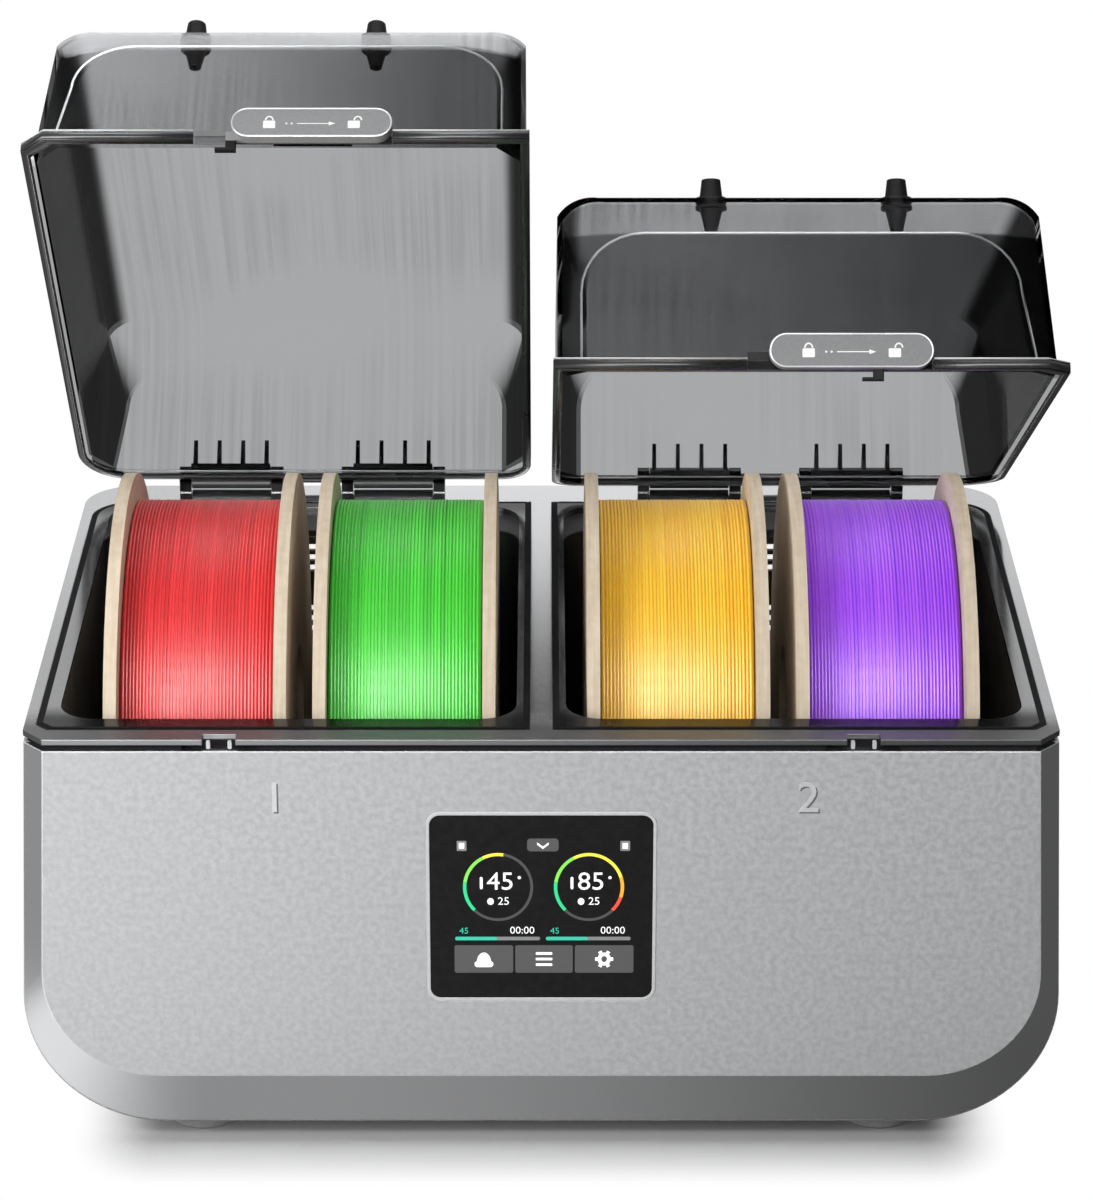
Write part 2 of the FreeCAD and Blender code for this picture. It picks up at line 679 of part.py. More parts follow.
def biarc(start, t_start, end, t_end):
    """Two tangent arcs between two points with given directions."""
    chord = end - start
    total = t_start + t_end
    bend = 2 * (1 - t_start.dot(t_end))
    reach = (math.sqrt(chord.dot(total) ** 2 + bend * chord.dot(chord)) - chord.dot(total)) / bend
    meet = (start + end + (t_start - t_end) * reach) * 0.5
    first = arc_from(start, t_start, meet)
    second = arc_from(end, t_end * -1, meet)
    return [first, second]


def turn_point(x_start, radius, turn):
    """Point of the filament's helix and its direction after a number of turns."""
    angle = 2 * math.pi * turn
    point = V(x_start + FILAMENT_PITCH * turn, SPOOL_Y + radius * math.cos(angle),
              SPOOL_Z + radius * math.sin(angle))
    direction = V(FILAMENT_PITCH / (2 * math.pi), -radius * math.sin(angle), radius * math.cos(angle))
    return point, direction.normalize()


def filament_core(x):
    """Plain inner layers of the filament on a spool."""
    core_r = WINDING_R - FILAMENT_D - RUN_GAP
    inside = SPOOL_WIDTH - 2 * FLANGE_T
    core_length = inside - 2 * CORE_END_GAP
    core = rod((x - core_length / 2, SPOOL_Y, SPOOL_Z), (1, 0, 0), core_r, core_length)
    return core.cut(rod((x - inside / 2, SPOOL_Y, SPOOL_Z), (1, 0, 0), HUB_R, inside))


def filament_turns(x):
    """Outer layer of the filament on a spool: one unbroken strand."""
    wire_r = FILAMENT_D / 2
    radius = WINDING_R - wire_r
    x_start = x - FILAMENT_PITCH * FILAMENT_LOOPS / 2
    steps = FILAMENT_LOOPS * 2
    first, first_dir = turn_point(x_start, radius, 0)
    last, last_dir = turn_point(x_start, radius, FILAMENT_LOOPS)
    edges = [Part.LineSegment(first - first_dir * FILAMENT_D, first).toShape()]
    for step in range(steps):
        here, here_dir = turn_point(x_start, radius, step / 2)
        there, there_dir = turn_point(x_start, radius, (step + 1) / 2)
        edges += biarc(here, here_dir, there, there_dir)
    edges.append(Part.LineSegment(last, last + last_dir * FILAMENT_D).toShape())
    path = Part.Wire(edges)
    section = Part.Wire([Part.Circle(first - first_dir * FILAMENT_D, first_dir, wire_r).toShape()])
    strand = path.makePipeShell([section], True, False)
    return strand.Solids[0]


def strand_gap():
    """Least gap between neighbouring loops, measured on points of the strand's path."""
    radius = WINDING_R - FILAMENT_D / 2
    samples = 48
    points = [turn_point(0, radius, index / samples)[0] for index in range(2 * samples + 1)]
    spaces = []
    for index, point in enumerate(points):
        for other in points[index + samples // 2:]:
            spaces.append((point - other).Length)
    return min(spaces) - FILAMENT_D


def heater(side):
    """Finned heater block on the back of a chamber."""
    low = FAN_Z - FAN_SIZE / 2
    block = box((FAN_X - FAN_SIZE / 2, FAN_X + FAN_SIZE / 2), (LINER_BACK, LINER_BACK + HEATER_T),
                (low, low + FAN_SIZE))
    pitch = (FAN_SIZE - 2 * WALL) / HEATER_FINS
    tools = air_slots(FAN_X, FAN_Z, HEATER_FINS, pitch - 1.5, FAN_SIZE - 3 * WALL, pitch,
                      (LINER_BACK - 1, LINER_BACK + HEATER_T + 1))
    return sided(cut_all(block, tools), side)


def fan_housing(side):
    """Square fan frame with a bore, struts and the pin that carries the rotor."""
    front = LINER_BACK + HEATER_T
    back = front + FAN_T
    frame = box((FAN_X - FAN_SIZE / 2, FAN_X + FAN_SIZE / 2), (front, back),
                (FAN_Z - FAN_SIZE / 2, FAN_Z + FAN_SIZE / 2))
    frame = frame.cut(rod((FAN_X, front - 1, FAN_Z), (0, 1, 0), FAN_BORE_R, FAN_T + 2))
    strut_t = 2 * FAN_BLADE_T
    struts = []
    for angle in (0, 120, 240):
        strut = box((-FAN_BLADE_T, FAN_BLADE_T), (back - strut_t, back), (0, FAN_BORE_R + 1))
        strut.rotate(V(0, 0, 0), V(0, 1, 0), angle)
        strut.translate(V(FAN_X, 0, FAN_Z))
        struts.append(strut)
    plate = rod((FAN_X, back - strut_t, FAN_Z), (0, 1, 0), FAN_HUB_R, strut_t)
    pin = rod((FAN_X, front + strut_t, FAN_Z), (0, 1, 0), FAN_PIN_R, FAN_T - 1.5 * strut_t)
    return sided(join([frame, plate, pin] + struts), side)


def fan_rotor(side):
    """Fan wheel on the housing's pin."""
    front = LINER_BACK + HEATER_T + 1
    length = FAN_T - 4 * FAN_BLADE_T - 1
    hub = rod((FAN_X, front, FAN_Z), (0, 1, 0), FAN_HUB_R, length)
    pieces = [hub]
    for index in range(FAN_BLADES):
        blade = box((-FAN_BLADE_T / 2, FAN_BLADE_T / 2), (-length / 2, length / 2),
                    (FAN_HUB_R - 1, FAN_BORE_R - FAN_BLADE_GAP))
        blade.rotate(V(0, 0, 0), V(0, 0, 1), 30)
        blade.rotate(V(0, 0, 0), V(0, 1, 0), 360 / FAN_BLADES * index)
        blade.translate(V(FAN_X, front + length / 2, FAN_Z))
        pieces.append(blade)
    slab = box((FAN_X - FAN_BORE_R, FAN_X + FAN_BORE_R), (front, front + length),
               (FAN_Z - FAN_BORE_R, FAN_Z + FAN_BORE_R))
    bore = rod((FAN_X, front - 1, FAN_Z), (0, 1, 0), FAN_PIN_R + RUN_GAP, length + 2)
    return sided(cut_all(join(pieces).common(slab), [bore]), side)


def mains_pieces():
    """Mains inlet, rocker switch and power supply at the back."""
    outside = DEPTH + INLET_FLANGE_T
    inlet = inlet_block(0, (DEPTH - INLET_DEPTH, outside))
    inlet = inlet.fuse(inlet_block(INLET_FLANGE, (DEPTH, outside)))
    socket = inlet_block(-INLET_FLANGE_T, (DEPTH - INLET_DEPTH + INLET_FLANGE_T, outside + 1))
    blades = []
    for index in range(3):
        x = INLET_X + (index - 1) * INLET_W / 4
        blades.append(centred_box((x, DEPTH - INLET_DEPTH / 2, INLET_Z),
                                  (INLET_FLANGE_T / 2, INLET_DEPTH - INLET_FLANGE_T, INLET_H / 4)))
    case = switch_block(0, (DEPTH - SWITCH_DEPTH, DEPTH + INLET_FLANGE_T))
    case = case.fuse(switch_block(INLET_FLANGE_T, (DEPTH, DEPTH + INLET_FLANGE_T)))
    case = cut_all(case, [switch_block(-INLET_FLANGE_T / 2, (DEPTH - SWITCH_DEPTH / 2, outside + 1))])
    inner_w = SWITCH_W - INLET_FLANGE_T
    axle_y = DEPTH
    rocker = rod((SWITCH_X - inner_w / 2 + SLIDE_GAP, axle_y, INLET_Z), (1, 0, 0), SWITCH_H / 4,
                 inner_w - 2 * SLIDE_GAP)
    paddle = centred_box((SWITCH_X, axle_y + SWITCH_H / 4 - 1, INLET_Z),
                         (inner_w - 2 * SLIDE_GAP, 2, SWITCH_H - 2 * INLET_FLANGE_T))
    rocker = join([rocker, paddle])
    rocker.rotate(V(SWITCH_X, axle_y, INLET_Z), V(1, 0, 0), SWITCH_TILT)
    supply_front = LINER_BACK + WALL
    supply = box((-SUPPLY_W / 2, SUPPLY_W / 2), (supply_front, DEPTH - REAR_CORNER_R),
                 (FLOOR_TOP, FLOOR_TOP + SUPPLY_H))
    return {"power_inlet": join([cut_all(inlet, [socket])] + blades), "switch_case": case,
            "switch_rocker": rocker, "power_supply": supply}


def feet():
    """Four round rubber feet under the housing."""
    places = [(sx * (HALF - FOOT_INSET_X), y) for sx in (-1, 1) for y in (FOOT_INSET_Y, DEPTH - FOOT_INSET_Y)]
    return Part.makeCompound([rod((x, y, 0), (0, 0, 1), FOOT_RADIUS, FOOT_HEIGHT) for x, y in places])


def bottom_cover():
    """Access cover let into the floor, drilled for its screws."""
    plate = box((-ACCESS_W / 2, ACCESS_W / 2), (DEPTH / 2 - ACCESS_D / 2, DEPTH / 2 + ACCESS_D / 2),
                (FOOT_HEIGHT, FOOT_HEIGHT + ACCESS_T))
    holes = [rod((x, y, 0), (0, 0, 1), SCREW_R + RUN_GAP, 2 * FOOT_HEIGHT) for x, y in screw_places()]
    return cut_all(plate, holes)


def cover_screws():
    """Screws that hold the access cover."""
    screws = []
    for x, y in screw_places():
        head = rod((x, y, FOOT_HEIGHT - SCREW_HEAD_T), (0, 0, 1), SCREW_HEAD_R, SCREW_HEAD_T)
        shank = rod((x, y, FOOT_HEIGHT - SCREW_HEAD_T), (0, 0, 1), SCREW_R, WALL + SCREW_HEAD_T)
        screws.append(join([head, shank]))
    return Part.makeCompound(screws)


def sensor(side):
    """Humidity sensor on the back wall of a chamber."""
    front = CHAMBER_BACK - SENSOR_T
    piece = centred_box((SENSOR_X, front + SENSOR_T / 2, RIM_Z - SPOOL_DROP), (SENSOR_W, SENSOR_T, SENSOR_H))
    return sided(piece, side)


def lid_profile(y, lean, side_inset, top_inset, crease_r=None):
    """Outline of a lid across the box, leaning back from its foot, top corners cut off or rounded by a radius."""
    inner = LID_CENTRE_GAP + LIP_IN + side_inset
    outer = LID_OUT - LIP_OUT - side_inset
    low = LID_BOTTOM
    high = LID_TOP - top_inset
    if crease_r:
        corner_w = crease_r
        corner_h = crease_r
        bulge_x = crease_r * (math.sqrt(0.5) - 0.5)
        bulge_z = bulge_x
    else:
        corner_w = LID_CORNER_W
        corner_h = LID_CORNER_H
        bulge_z = LID_CORNER_SAG * LID_CORNER_W
        bulge_x = bulge_z / 2
    shoulder = high - corner_h
    top_outer = outer - LID_SIDE_SLOPE
    bulge = high - corner_h / 2 + bulge_z

    def leaning(x, z):
        return (x, y + lean * (z - low), z)

    points = [leaning(inner, low), leaning(inner, shoulder), leaning(inner + corner_w, high),
              leaning(top_outer - corner_w, high), leaning(top_outer, shoulder), leaning(outer, low)]
    arcs = {1: leaning(inner + corner_w / 2 - bulge_x, bulge),
            3: leaning(top_outer - corner_w / 2 + bulge_x, bulge)}
    return closed_wire(points, arcs)


def lid_body(inset):
    """Outside of a lid's hood, or its hollow when given an inset."""
    front = WALL_FRONT + inset
    back = WALL_BACK - inset
    shoulder_front = WALL_FRONT + LID_BEVEL_DEPTH
    shoulder_back = WALL_BACK - LID_BEVEL_DEPTH
    small = (LID_BEVEL_SIDE + inset, LID_BEVEL_TOP + inset, LID_CREASE_R - inset)
    full = (inset, inset)
    brow = lid_profile(shoulder_front, LID_LEAN, *full)
    nape = lid_profile(shoulder_back, 0, *full)
    nose = Part.makeLoft([lid_profile(front, LID_LEAN, *small), brow], True, True)
    middle = Part.makeLoft([brow, nape], True, True)
    tail = Part.makeLoft([nape, lid_profile(back, 0, *small)], True, True)
    return join([nose, middle, tail])


def lip_wire(inset, z):
    """Plan of a lid's lip on the right half."""
    inner = LID_CENTRE_GAP + inset
    outer = LID_OUT - inset
    front = LIP_FRONT + inset
    back = LID_BACK - inset
    radius = REAR_CORNER_R
    leg = radius * (1 - math.sqrt(0.5))
    inner_leg = LID_INNER_R * (1 - math.sqrt(0.5))
    points = [(inner, front, z), (outer - LIP_CHAMFER, front, z), (outer, front + LIP_CHAMFER, z),
              (outer, back - radius, z), (outer - radius, back, z),
              (inner + LID_INNER_R, back, z), (inner, back - LID_INNER_R, z)]
    return closed_wire(points, {3: (outer - leg, back - leg, z), 5: (inner + inner_leg, back - inner_leg, z)})


def latch_centre(side):
    """Middle of an unlocked latch pill."""
    return side * LID_CENTRE + PILL_OFFSET


def hook_stem(side):
    """Middle of an unlocked latch hook."""
    return side * KEEPER_X + HOOK_UNLOCKED


def lid_shell(side):
    """Clear hood with its lip, the latch recess and the outlet holes."""
    lip = prism(lip_wire(0, LID_BOTTOM), (0, 0, LIP_T))
    ring = lip_wire(LIP_DEPTH + LID_BEVEL_SIDE + LID_WALL, LID_BOTTOM - 1)
    lip_ring = lip.cut(prism(ring, (0, 0, LIP_T + 2)))
    hood = join([lid_body(0), lip])
    hollow = lid_body(LID_WALL)
    top = LID_TOP - LID_WALL
    tools = [hollow]
    for x in OUTLET_X:
        tools.append(rod((x, OUTLET_Y, top - 1), (0, 0, 1), OUTLET_R + RUN_GAP, LID_WALL + 2))
    shell = cut_all(hood, tools)
    shell = sided(join([shell, lip_ring.cut(hollow)]), side)
    centre = latch_centre(side) - LATCH_TRAVEL / 2
    pill_left = latch_centre(side) - PILL_W / 2
    hook_left = hook_stem(side) - HOOK_W / 2 - HOOK_FOOT
    low = LID_BOTTOM + PILL_RISE
    notch = box((min(pill_left, hook_left) - LATCH_TRAVEL - SLIDE_GAP, pill_left + PILL_W + SLIDE_GAP),
                (LIP_FRONT - 1, WALL_FRONT), (LID_BOTTOM - 1, low + PILL_H + SLIDE_GAP))
    slot_half = (NECK_W + LATCH_TRAVEL) / 2 + SLIDE_GAP
    middle = low + PILL_H / 2
    slot = box((centre - slot_half, centre + slot_half), (WALL_FRONT - 1, WALL_FRONT + 4 * LID_WALL),
               (middle - NECK_H / 2 - SLIDE_GAP, middle + NECK_H / 2 + SLIDE_GAP))
    return cut_all(shell, [notch, slot])


def latch_slider(side):
    """Pill with a neck through the hood, a plate behind it and a hook for the keeper notch."""
    centre = latch_centre(side)
    low = LID_BOTTOM + PILL_RISE
    front = LIP_FRONT - PILL_PROUD
    back = WALL_FRONT - SLIDE_GAP
    round_r = PILL_H / 2 - RUN_GAP
    pill = facing_block((centre - PILL_W / 2, centre + PILL_W / 2), (front, back), (low, low + PILL_H), round_r)
    middle = low + PILL_H / 2
    plate_front = plate_face(middle + PLATE_H - NECK_H / 2)
    neck = box((centre - NECK_W / 2, centre + NECK_W / 2), (back - 1, plate_front + PLATE_T),
               (middle - NECK_H / 2, middle + NECK_H / 2))
    plate = box((centre - PLATE_W / 2, centre + PLATE_W / 2), (plate_front, plate_front + PLATE_T),
                (middle - NECK_H / 2, middle + PLATE_H - NECK_H / 2))
    stem_x = hook_stem(side)
    foot_low = FRAME_BOTTOM - SLIDE_GAP - HOOK_FOOT_T
    hook_back = back - SLIDE_GAP
    bar_low = low
    bar = box((min(stem_x - HOOK_W / 2, centre), max(stem_x + HOOK_W / 2, centre)),
              (hook_back - HOOK_T, hook_back), (bar_low, bar_low + NECK_H))
    stem = box((stem_x - HOOK_W / 2, stem_x + HOOK_W / 2), (hook_back - HOOK_T, hook_back), (foot_low, bar_low + 1))
    foot = box((stem_x - HOOK_W / 2 - HOOK_FOOT, stem_x), (hook_back - HOOK_T, hook_back),
               (foot_low, foot_low + HOOK_FOOT_T))
    return join([pill, neck, plate, bar, stem, foot])


def plate_face(z):
    """Front of a latch plate: clear of the inner face of the hood's front wall at a height."""
    return WALL_FRONT + LID_WALL + LID_LEAN * (z - LID_BOTTOM) + SLIDE_GAP


def outlet_fittings(side):
    """Two filament outlets: cap and ring above the hood, tapered nozzle below it."""
    fittings = []
    top = LID_TOP
    under = top - LID_WALL
    for x in OUTLET_X:
        cap = Part.makeCone(OUTLET_R, OUTLET_R - 1, OUTLET_CAP_H, V(x, OUTLET_Y, top))
        ring = rod((x, OUTLET_Y, top), (0, 0, 1), OUTLET_RING_R, OUTLET_RING_T)
        neck = rod((x, OUTLET_Y, under), (0, 0, 1), OUTLET_R, LID_WALL)
        collar = rod((x, OUTLET_Y, under - OUTLET_RING_T), (0, 0, 1), OUTLET_RING_R, OUTLET_RING_T)
        nozzle = Part.makeCone(OUTLET_NOZZLE_R, OUTLET_R, OUTLET_NOZZLE_L,
                               V(x, OUTLET_Y, under - OUTLET_NOZZLE_L))
        bore = rod((x, OUTLET_Y, under - 2 * OUTLET_NOZZLE_L), (0, 0, 1), OUTLET_BORE_R, 4 * OUTLET_NOZZLE_L)
        fittings.append(sided(cut_all(join([cap, ring, neck, collar, nozzle]), [bore]), side))
    return Part.makeCompound(fittings)


def hinge_leaf(x):
    """Hinge leaf behind a lid: foot bar, slim ribs and the knuckle round the pin."""
    low = LID_BOTTOM + LIP_T
    foot_front = LID_BACK - LEAF_T
    span = (x - LEAF_W / 2, x + LEAF_W / 2)
    bar = box(span, (foot_front, PIN_Y), (low, low + BAR_H))
    knuckle = rod((span[0], PIN_Y, PIN_Z), (1, 0, 0), KNUCKLE_R, LEAF_W)
    ribs = []
    for index in range(RIB_COUNT):
        rib_x = x + (index - (RIB_COUNT - 1) / 2) * RIB_PITCH
        corner = [(rib_x - RIB_T / 2, foot_front, low), (rib_x - RIB_T / 2, PIN_Y, low),
                  (rib_x - RIB_T / 2, foot_front, low + LEAF_H)]
        ribs.append(prism(closed_wire(corner, {}), (RIB_T, 0, 0)))
    bore = rod((x - LEAF_W, PIN_Y, PIN_Z), (1, 0, 0), HINGE_PIN_R + RUN_GAP, 2 * LEAF_W)
    return cut_all(join([bar, knuckle] + ribs), [bore])


def hinge_pin(side):
    """Pin through both hinge leaves of a lid and the ears beside them."""
    reach = LEAF_W / 2 + END_GAP + EAR_W
    start = LEAF_X[0] - reach
    return sided(rod((start, PIN_Y, PIN_Z), (1, 0, 0), HINGE_PIN_R, LEAF_X[1] + reach - start), side)


def opened(shape, name):
    """A lid piece turned from shut to the way it stands."""
    turned = shape.copy()
    turned.rotate(V(0, PIN_Y, PIN_Z), V(-1, 0, 0), OPEN_ANGLE[name])
    return turned


def pair(make):
    """The left and right copy of a small piece as one group."""
    return Part.makeCompound([make(side) for side in SIDES.values()])


def build():
    """Every piece of the dryer by its node name."""
    nodes = {"base_shell": base_shell(), "front_panel": front_panel(), "top_frame": top_frame(),
             "housing_gasket": housing_gasket(), "feet": feet(), "bottom_cover": bottom_cover(),
             "cover_screws": cover_screws()}
    nodes.update(screen_pieces())
    nodes.update(mains_pieces())
    nodes["lid_seals"] = pair(lambda side: seal_ring(side, 0, RIM_Z - SEAL_DEPTH, RIM_Z))
    nodes["desiccant_packs"] = pair(desiccant_pack)
    nodes["humidity_sensors"] = pair(sensor)
    nodes["hinge_pins"] = pair(hinge_pin)
    for name, side in SIDES.items():
        nodes["chamber_liner_" + name] = chamber_liner(side)
        nodes["desiccant_cover_" + name] = desiccant_cover(side)
        nodes["heater_" + name] = heater(side)
        nodes["fan_housing_" + name] = fan_housing(side)
        nodes["fan_rotor_" + name] = fan_rotor(side)
        nodes["roller_cradle_" + name] = roller_cradle(side)
        nodes["lid_shell_" + name] = opened(lid_shell(side), name)
        nodes["latch_slider_" + name] = opened(latch_slider(side), name)
        nodes["outlet_fittings_" + name] = opened(outlet_fittings(side), name)
        leaves = [sided(hinge_leaf(x), side) for x in LEAF_X]
        nodes["hinge_leaves_" + name] = opened(Part.makeCompound(leaves), name)
    for number, x in enumerate(spool_centres(), start=1):
        nodes["spool_%d" % number] = spool(x)
        nodes["filament_core_%d" % number] = filament_core(x)
        nodes["filament_turns_%d" % number] = filament_turns(x)
        nodes["roller_%d_front" % number] = roller(x, 0)
        nodes["roller_%d_back" % number] = roller(x, 1)
    return nodes


def spool_centres():
    """Middles of the four spools across the box."""
    outer = SPOOL_INNER_X + SPOOL_PITCH
    return [-outer, -SPOOL_INNER_X, SPOOL_INNER_X, outer]


def centring(nodes):
    """Shift that puts the origin under the middle of the whole box, on the floor."""
    bounds = Part.makeCompound(list(nodes.values())).BoundBox
    return V(-bounds.Center.x, -bounds.Center.y, -bounds.ZMin)


os.makedirs("parts", exist_ok=True)
NODES = build()
SHIFT = centring(NODES)
for node_name, node_shape in NODES.items():
    node_shape.translate(SHIFT)
    node_shape.exportStep("parts/%s.step" % node_name)
print("nodes", len(NODES), "shift", SHIFT, "least strand gap", round(strand_gap(), 3))
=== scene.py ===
"""Filament dryer box: materials, windings, marks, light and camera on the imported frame."""
import math
import random

import bpy
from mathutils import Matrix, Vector


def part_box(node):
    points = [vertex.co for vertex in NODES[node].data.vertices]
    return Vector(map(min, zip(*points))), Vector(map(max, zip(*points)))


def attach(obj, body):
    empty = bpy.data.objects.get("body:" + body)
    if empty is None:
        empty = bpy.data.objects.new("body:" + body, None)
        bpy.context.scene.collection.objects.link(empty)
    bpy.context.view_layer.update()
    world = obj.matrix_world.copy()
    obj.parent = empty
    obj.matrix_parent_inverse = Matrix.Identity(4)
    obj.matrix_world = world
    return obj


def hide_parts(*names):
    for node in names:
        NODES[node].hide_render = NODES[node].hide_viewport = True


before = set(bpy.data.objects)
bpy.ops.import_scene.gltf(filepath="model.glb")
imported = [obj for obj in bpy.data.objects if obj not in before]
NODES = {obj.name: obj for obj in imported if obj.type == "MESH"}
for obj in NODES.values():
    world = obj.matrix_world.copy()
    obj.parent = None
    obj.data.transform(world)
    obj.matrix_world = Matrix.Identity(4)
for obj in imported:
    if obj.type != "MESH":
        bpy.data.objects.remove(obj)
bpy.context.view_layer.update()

MM = 0.001
RANDOM = random.Random(7)

# Places in the frame, in metres, and then the sizes of the lids, in millimetres
FRONT_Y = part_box("front_panel")[0][1]
MID_X = (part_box("top_frame")[0][0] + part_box("top_frame")[1][0]) / 2
RIM_Z = 178.0
PIN_Y = 266.0
PIN_Z = 183.0
LID_BOTTOM = 178.4
LID_TOP = 251.5
OPEN = {"left": math.radians(50.45), "right": math.radians(30.4)}
SIGN = {"left": -1, "right": 1}

# Hood of a lid, shut; the edge of its front wall, as the material sees it, is in metres
LID_INNER = 6.0
LID_OUTER = 194.0
LID_FRONT = 4.5
LID_SLOPE = 4.5
LID_BEVEL_SIDE = 9.0
LID_BEVEL_TOP = 17.2
LID_LEAN = 0.25
LID_CREASE_R = 24.0
LID_IOR = 1.03
NOSE_EDGE = (0.0175, 0.0200)

# Lip of a lid; each painted shade strip has its outer and inner edge, then its bottom and top
LIP_T = 4.0
LIP_INNER = 4.6
LIP_OUTER = 197.6
LIP_FRONT = 0.5
LIP_BACK = 259.0
LIP_CHAMFER = 9.0
LIP_WIDE_R = 22.0
LIP_TIGHT_R = 12.0
LIP_EDGE = 0.2
LIP_PAINTED_SHADE_STRIPS = ((0.12, -0.2, 0.3, LIP_T - 0.7), (-0.1, -3.4, -0.06, 0.2))

# Painted highlight lines on a lid
UNDER_INSET = 2.4
UNDER_Z = 0.2
CREASE_INSET = 0.75
CREASE_WIRE = 0.48
EDGE_WIRE = 0.40
UNDER_WIRE = 0.28
WIRE_SIDES = 8

# Latch of a lid, with the painted highlight line round its pill, and the painted shade strip behind it: its
# bottom, its taller top and its lower top
PILL_X = {"left": -86.9, "right": 115.3}
PILL_W = 61.0
PILL_H = 13.0
PILL_Z = 0.4
PILL_LINE = 0.6
PILL_LINE_R = 6.1
PILL_LINE_Y = -0.42
PILL_WIRE = 0.34
PILL_MARK_Y = (-0.58, -0.45)
NOTCH_X = {"left": (-131.6, -56.2), "right": (76.6, 146.0)}
TRACK_GAP = 0.3
TRACK_LAP = 2.0
TRACK_Z = (0.2, 7.6, 4.4)
TRACK_Y = (0.18, 0.02)

# Where the tone of the rim changes, dark on the hinge ears, with painted shade along the front, painted light
# to the back and a painted falloff across the front faces: above it in millimetres, and behind the front and
# across in metres
EAR_RISE = (0.2, 0.6)
RIM_NEAR = (0.010, 0.030)
RIM_FAR = (0.05, 0.24)
RIM_ACROSS = (-0.20, 0.20)

# Ledge round a chamber opening, in plan, and where its tone changes (painted shade along the front and the
# back), in metres behind the front
LEDGE_INNER = 6.0
LEDGE_FRONT = 10.9
LEDGE_BACK = 249.0
LEDGE_CUT = ((185.4, 10.9), (189.9, 15.4))
LEDGE_CENTRE = (174.0, 233.0)
LEDGE_R = 16.0
CUT_SHARE = 0.41
CHAMBER_X = (23.3, 170.1)
CHAMBER_Y = (33.0, 230.0)
CHAMBER_R = 13.9
SEAM_INSET = -0.9
SEAL_PROUD = 0.4
LEDGE_LOW = 0.01
LEDGE_HIGH = 0.25
SEAL_HIGH = 0.27
LEDGE_NEAR = (0.018, 0.034)
LEDGE_FAR = (0.222, 0.244)

# Small marks on the rim and the panel, with a dark copy behind each numeral, shifted down and to the right,
# as a painted shadow
KEEPER_X = (117.3, 125.4)
KEEPER_SIZE = (1.5, 3.2)
KEEPER_R = 0.5
KEEPER_DROP = 2.2
KEEPER_Y = (0.05, 1.3)
NUMERAL_X = 101.0
NUMERAL_SIZE = 18.0
NUMERAL_DROP = 24.5
NUMERAL_Y = (-0.10, 0.4)
NUMERAL_SHADOW_SHIFT = 0.6
NUMERAL_SHADOW_Y = (-0.04, 0.4)

# Marks on the screen: how proud they stand, then places across and below the rim
MARK_BACK = 0.02
MARK_LOW = 0.03
MARK_PROUD = 0.05
MARK_OVER = 0.07
MARK_TOP = 0.08
GAUGES = ((-16.5, 0.54), (18.2, 1.0))
GAUGE_DROP = 61.5
GAUGE_RADII = (13.4, 14.4)
GAUGE_START = 135
GAUGE_SWEEP = 270
GAUGE_STEPS = 30
GAUGE_STEP_ANGLE = 9.2
GAUGE_COLOURS = (0.20, 0.40, 0.74, 0.87)
READINGS = (("45", -15.6), ("85", 19.0))
READING_SIZE = 10.6
READING_DROP = 59.4
SMALL_X = (-16.0, 18.6)
SMALL_SIZE = 4.6
SMALL_DROP = 67.6
SPOT_X = (-30.3, 31.9)
SPOT_DROP = 44.1
TAB_X = 0.6
TAB_DROP = 43.7
TAB_SIZE = (12.0, 5.4)
TAB_R = 1.4
ARROW = ((-2.2, -1.1), (0.0, 0.7), (2.2, -1.1), (2.2, -0.1), (0.0, 1.7), (-2.2, -0.1))
BARS = ((-33.0, -0.5), (1.8, 34.2))
BAR_DROP = 83.4
BAR_H = 1.5
BAR_R = 0.6
BAR_DONE = 16.0
BUTTONS = ((-33.3, -10.8), (-10.0, 12.1), (12.9, 35.4))
BUTTON_DROP = 92.2
BUTTON_H = 11.8
BUTTON_R = 0.8

# Winding of a spool; the core's rise and reach are shares of the strand
WIND_R = 86.4
WIND_BORE_R = 45.4
STRAND_R = 0.68
TURNS = 43
TURN_STEPS = 80
TURN_SWAY = 0.10
TURN_DIP = 0.14
CORE_RISE = 0.45
CORE_REACH = 0.7
CORE_STEPS = 96
FILAMENT_IOR = 1.65

# How much light the smoke plastic lets through, with painted light in it: side walls darkened as painted
# shade, front walls that deepen to the right as painted shade and differ from lid to lid, top bevels
# lightened and the left lid's top bevel made less clear as painted reflection; then the tones of the panel
SMOKE_AND_PAINTED_LIGHT = {"pane": 0.40, "side": 0.02, "front_left": (0.86, 0.22), "front_right": (0.29, 0.12),
         "bevel_left": 0.74, "bevel_right": 0.74, "bevel_side": 0.32, "frost_left": 0.24, "frost_right": 0.0}
PANEL_TONE = 0.485
BEVEL_TONE = 0.74

# Light: name, place, target, size, power and whether gloss alone sees it, then the floor and the surround
LAMPS = (("key", (-0.75, -0.75, 0.50), (-0.10, -0.10, 0.10), (0.5, 0.5), 9.0, False),
         ("front", (0.0, -1.35, 1.20), (0.0, 0.0, 0.17), (1.5, 0.22), 7.5, False),
         ("strip", (0.0, -1.30, 1.15), (0.0, 0.0, 0.17), (3.0, 0.75), 54.0, True),
         ("back", (-0.05, 0.75, 1.45), (0.0, 0.0, 0.05), (1.3, 0.8), 17.0, False))
WORLD_LEVEL = 0.26
SIDE_LEVEL = 0.08
SIDE_FROM = (0.50, 0.85)
MIDDLE_TO = (0.03, 0.09)
AROUND_LEVEL = 0.72
CEILING = (0.364, 0.402)
CEILING_LEVEL = 0.10
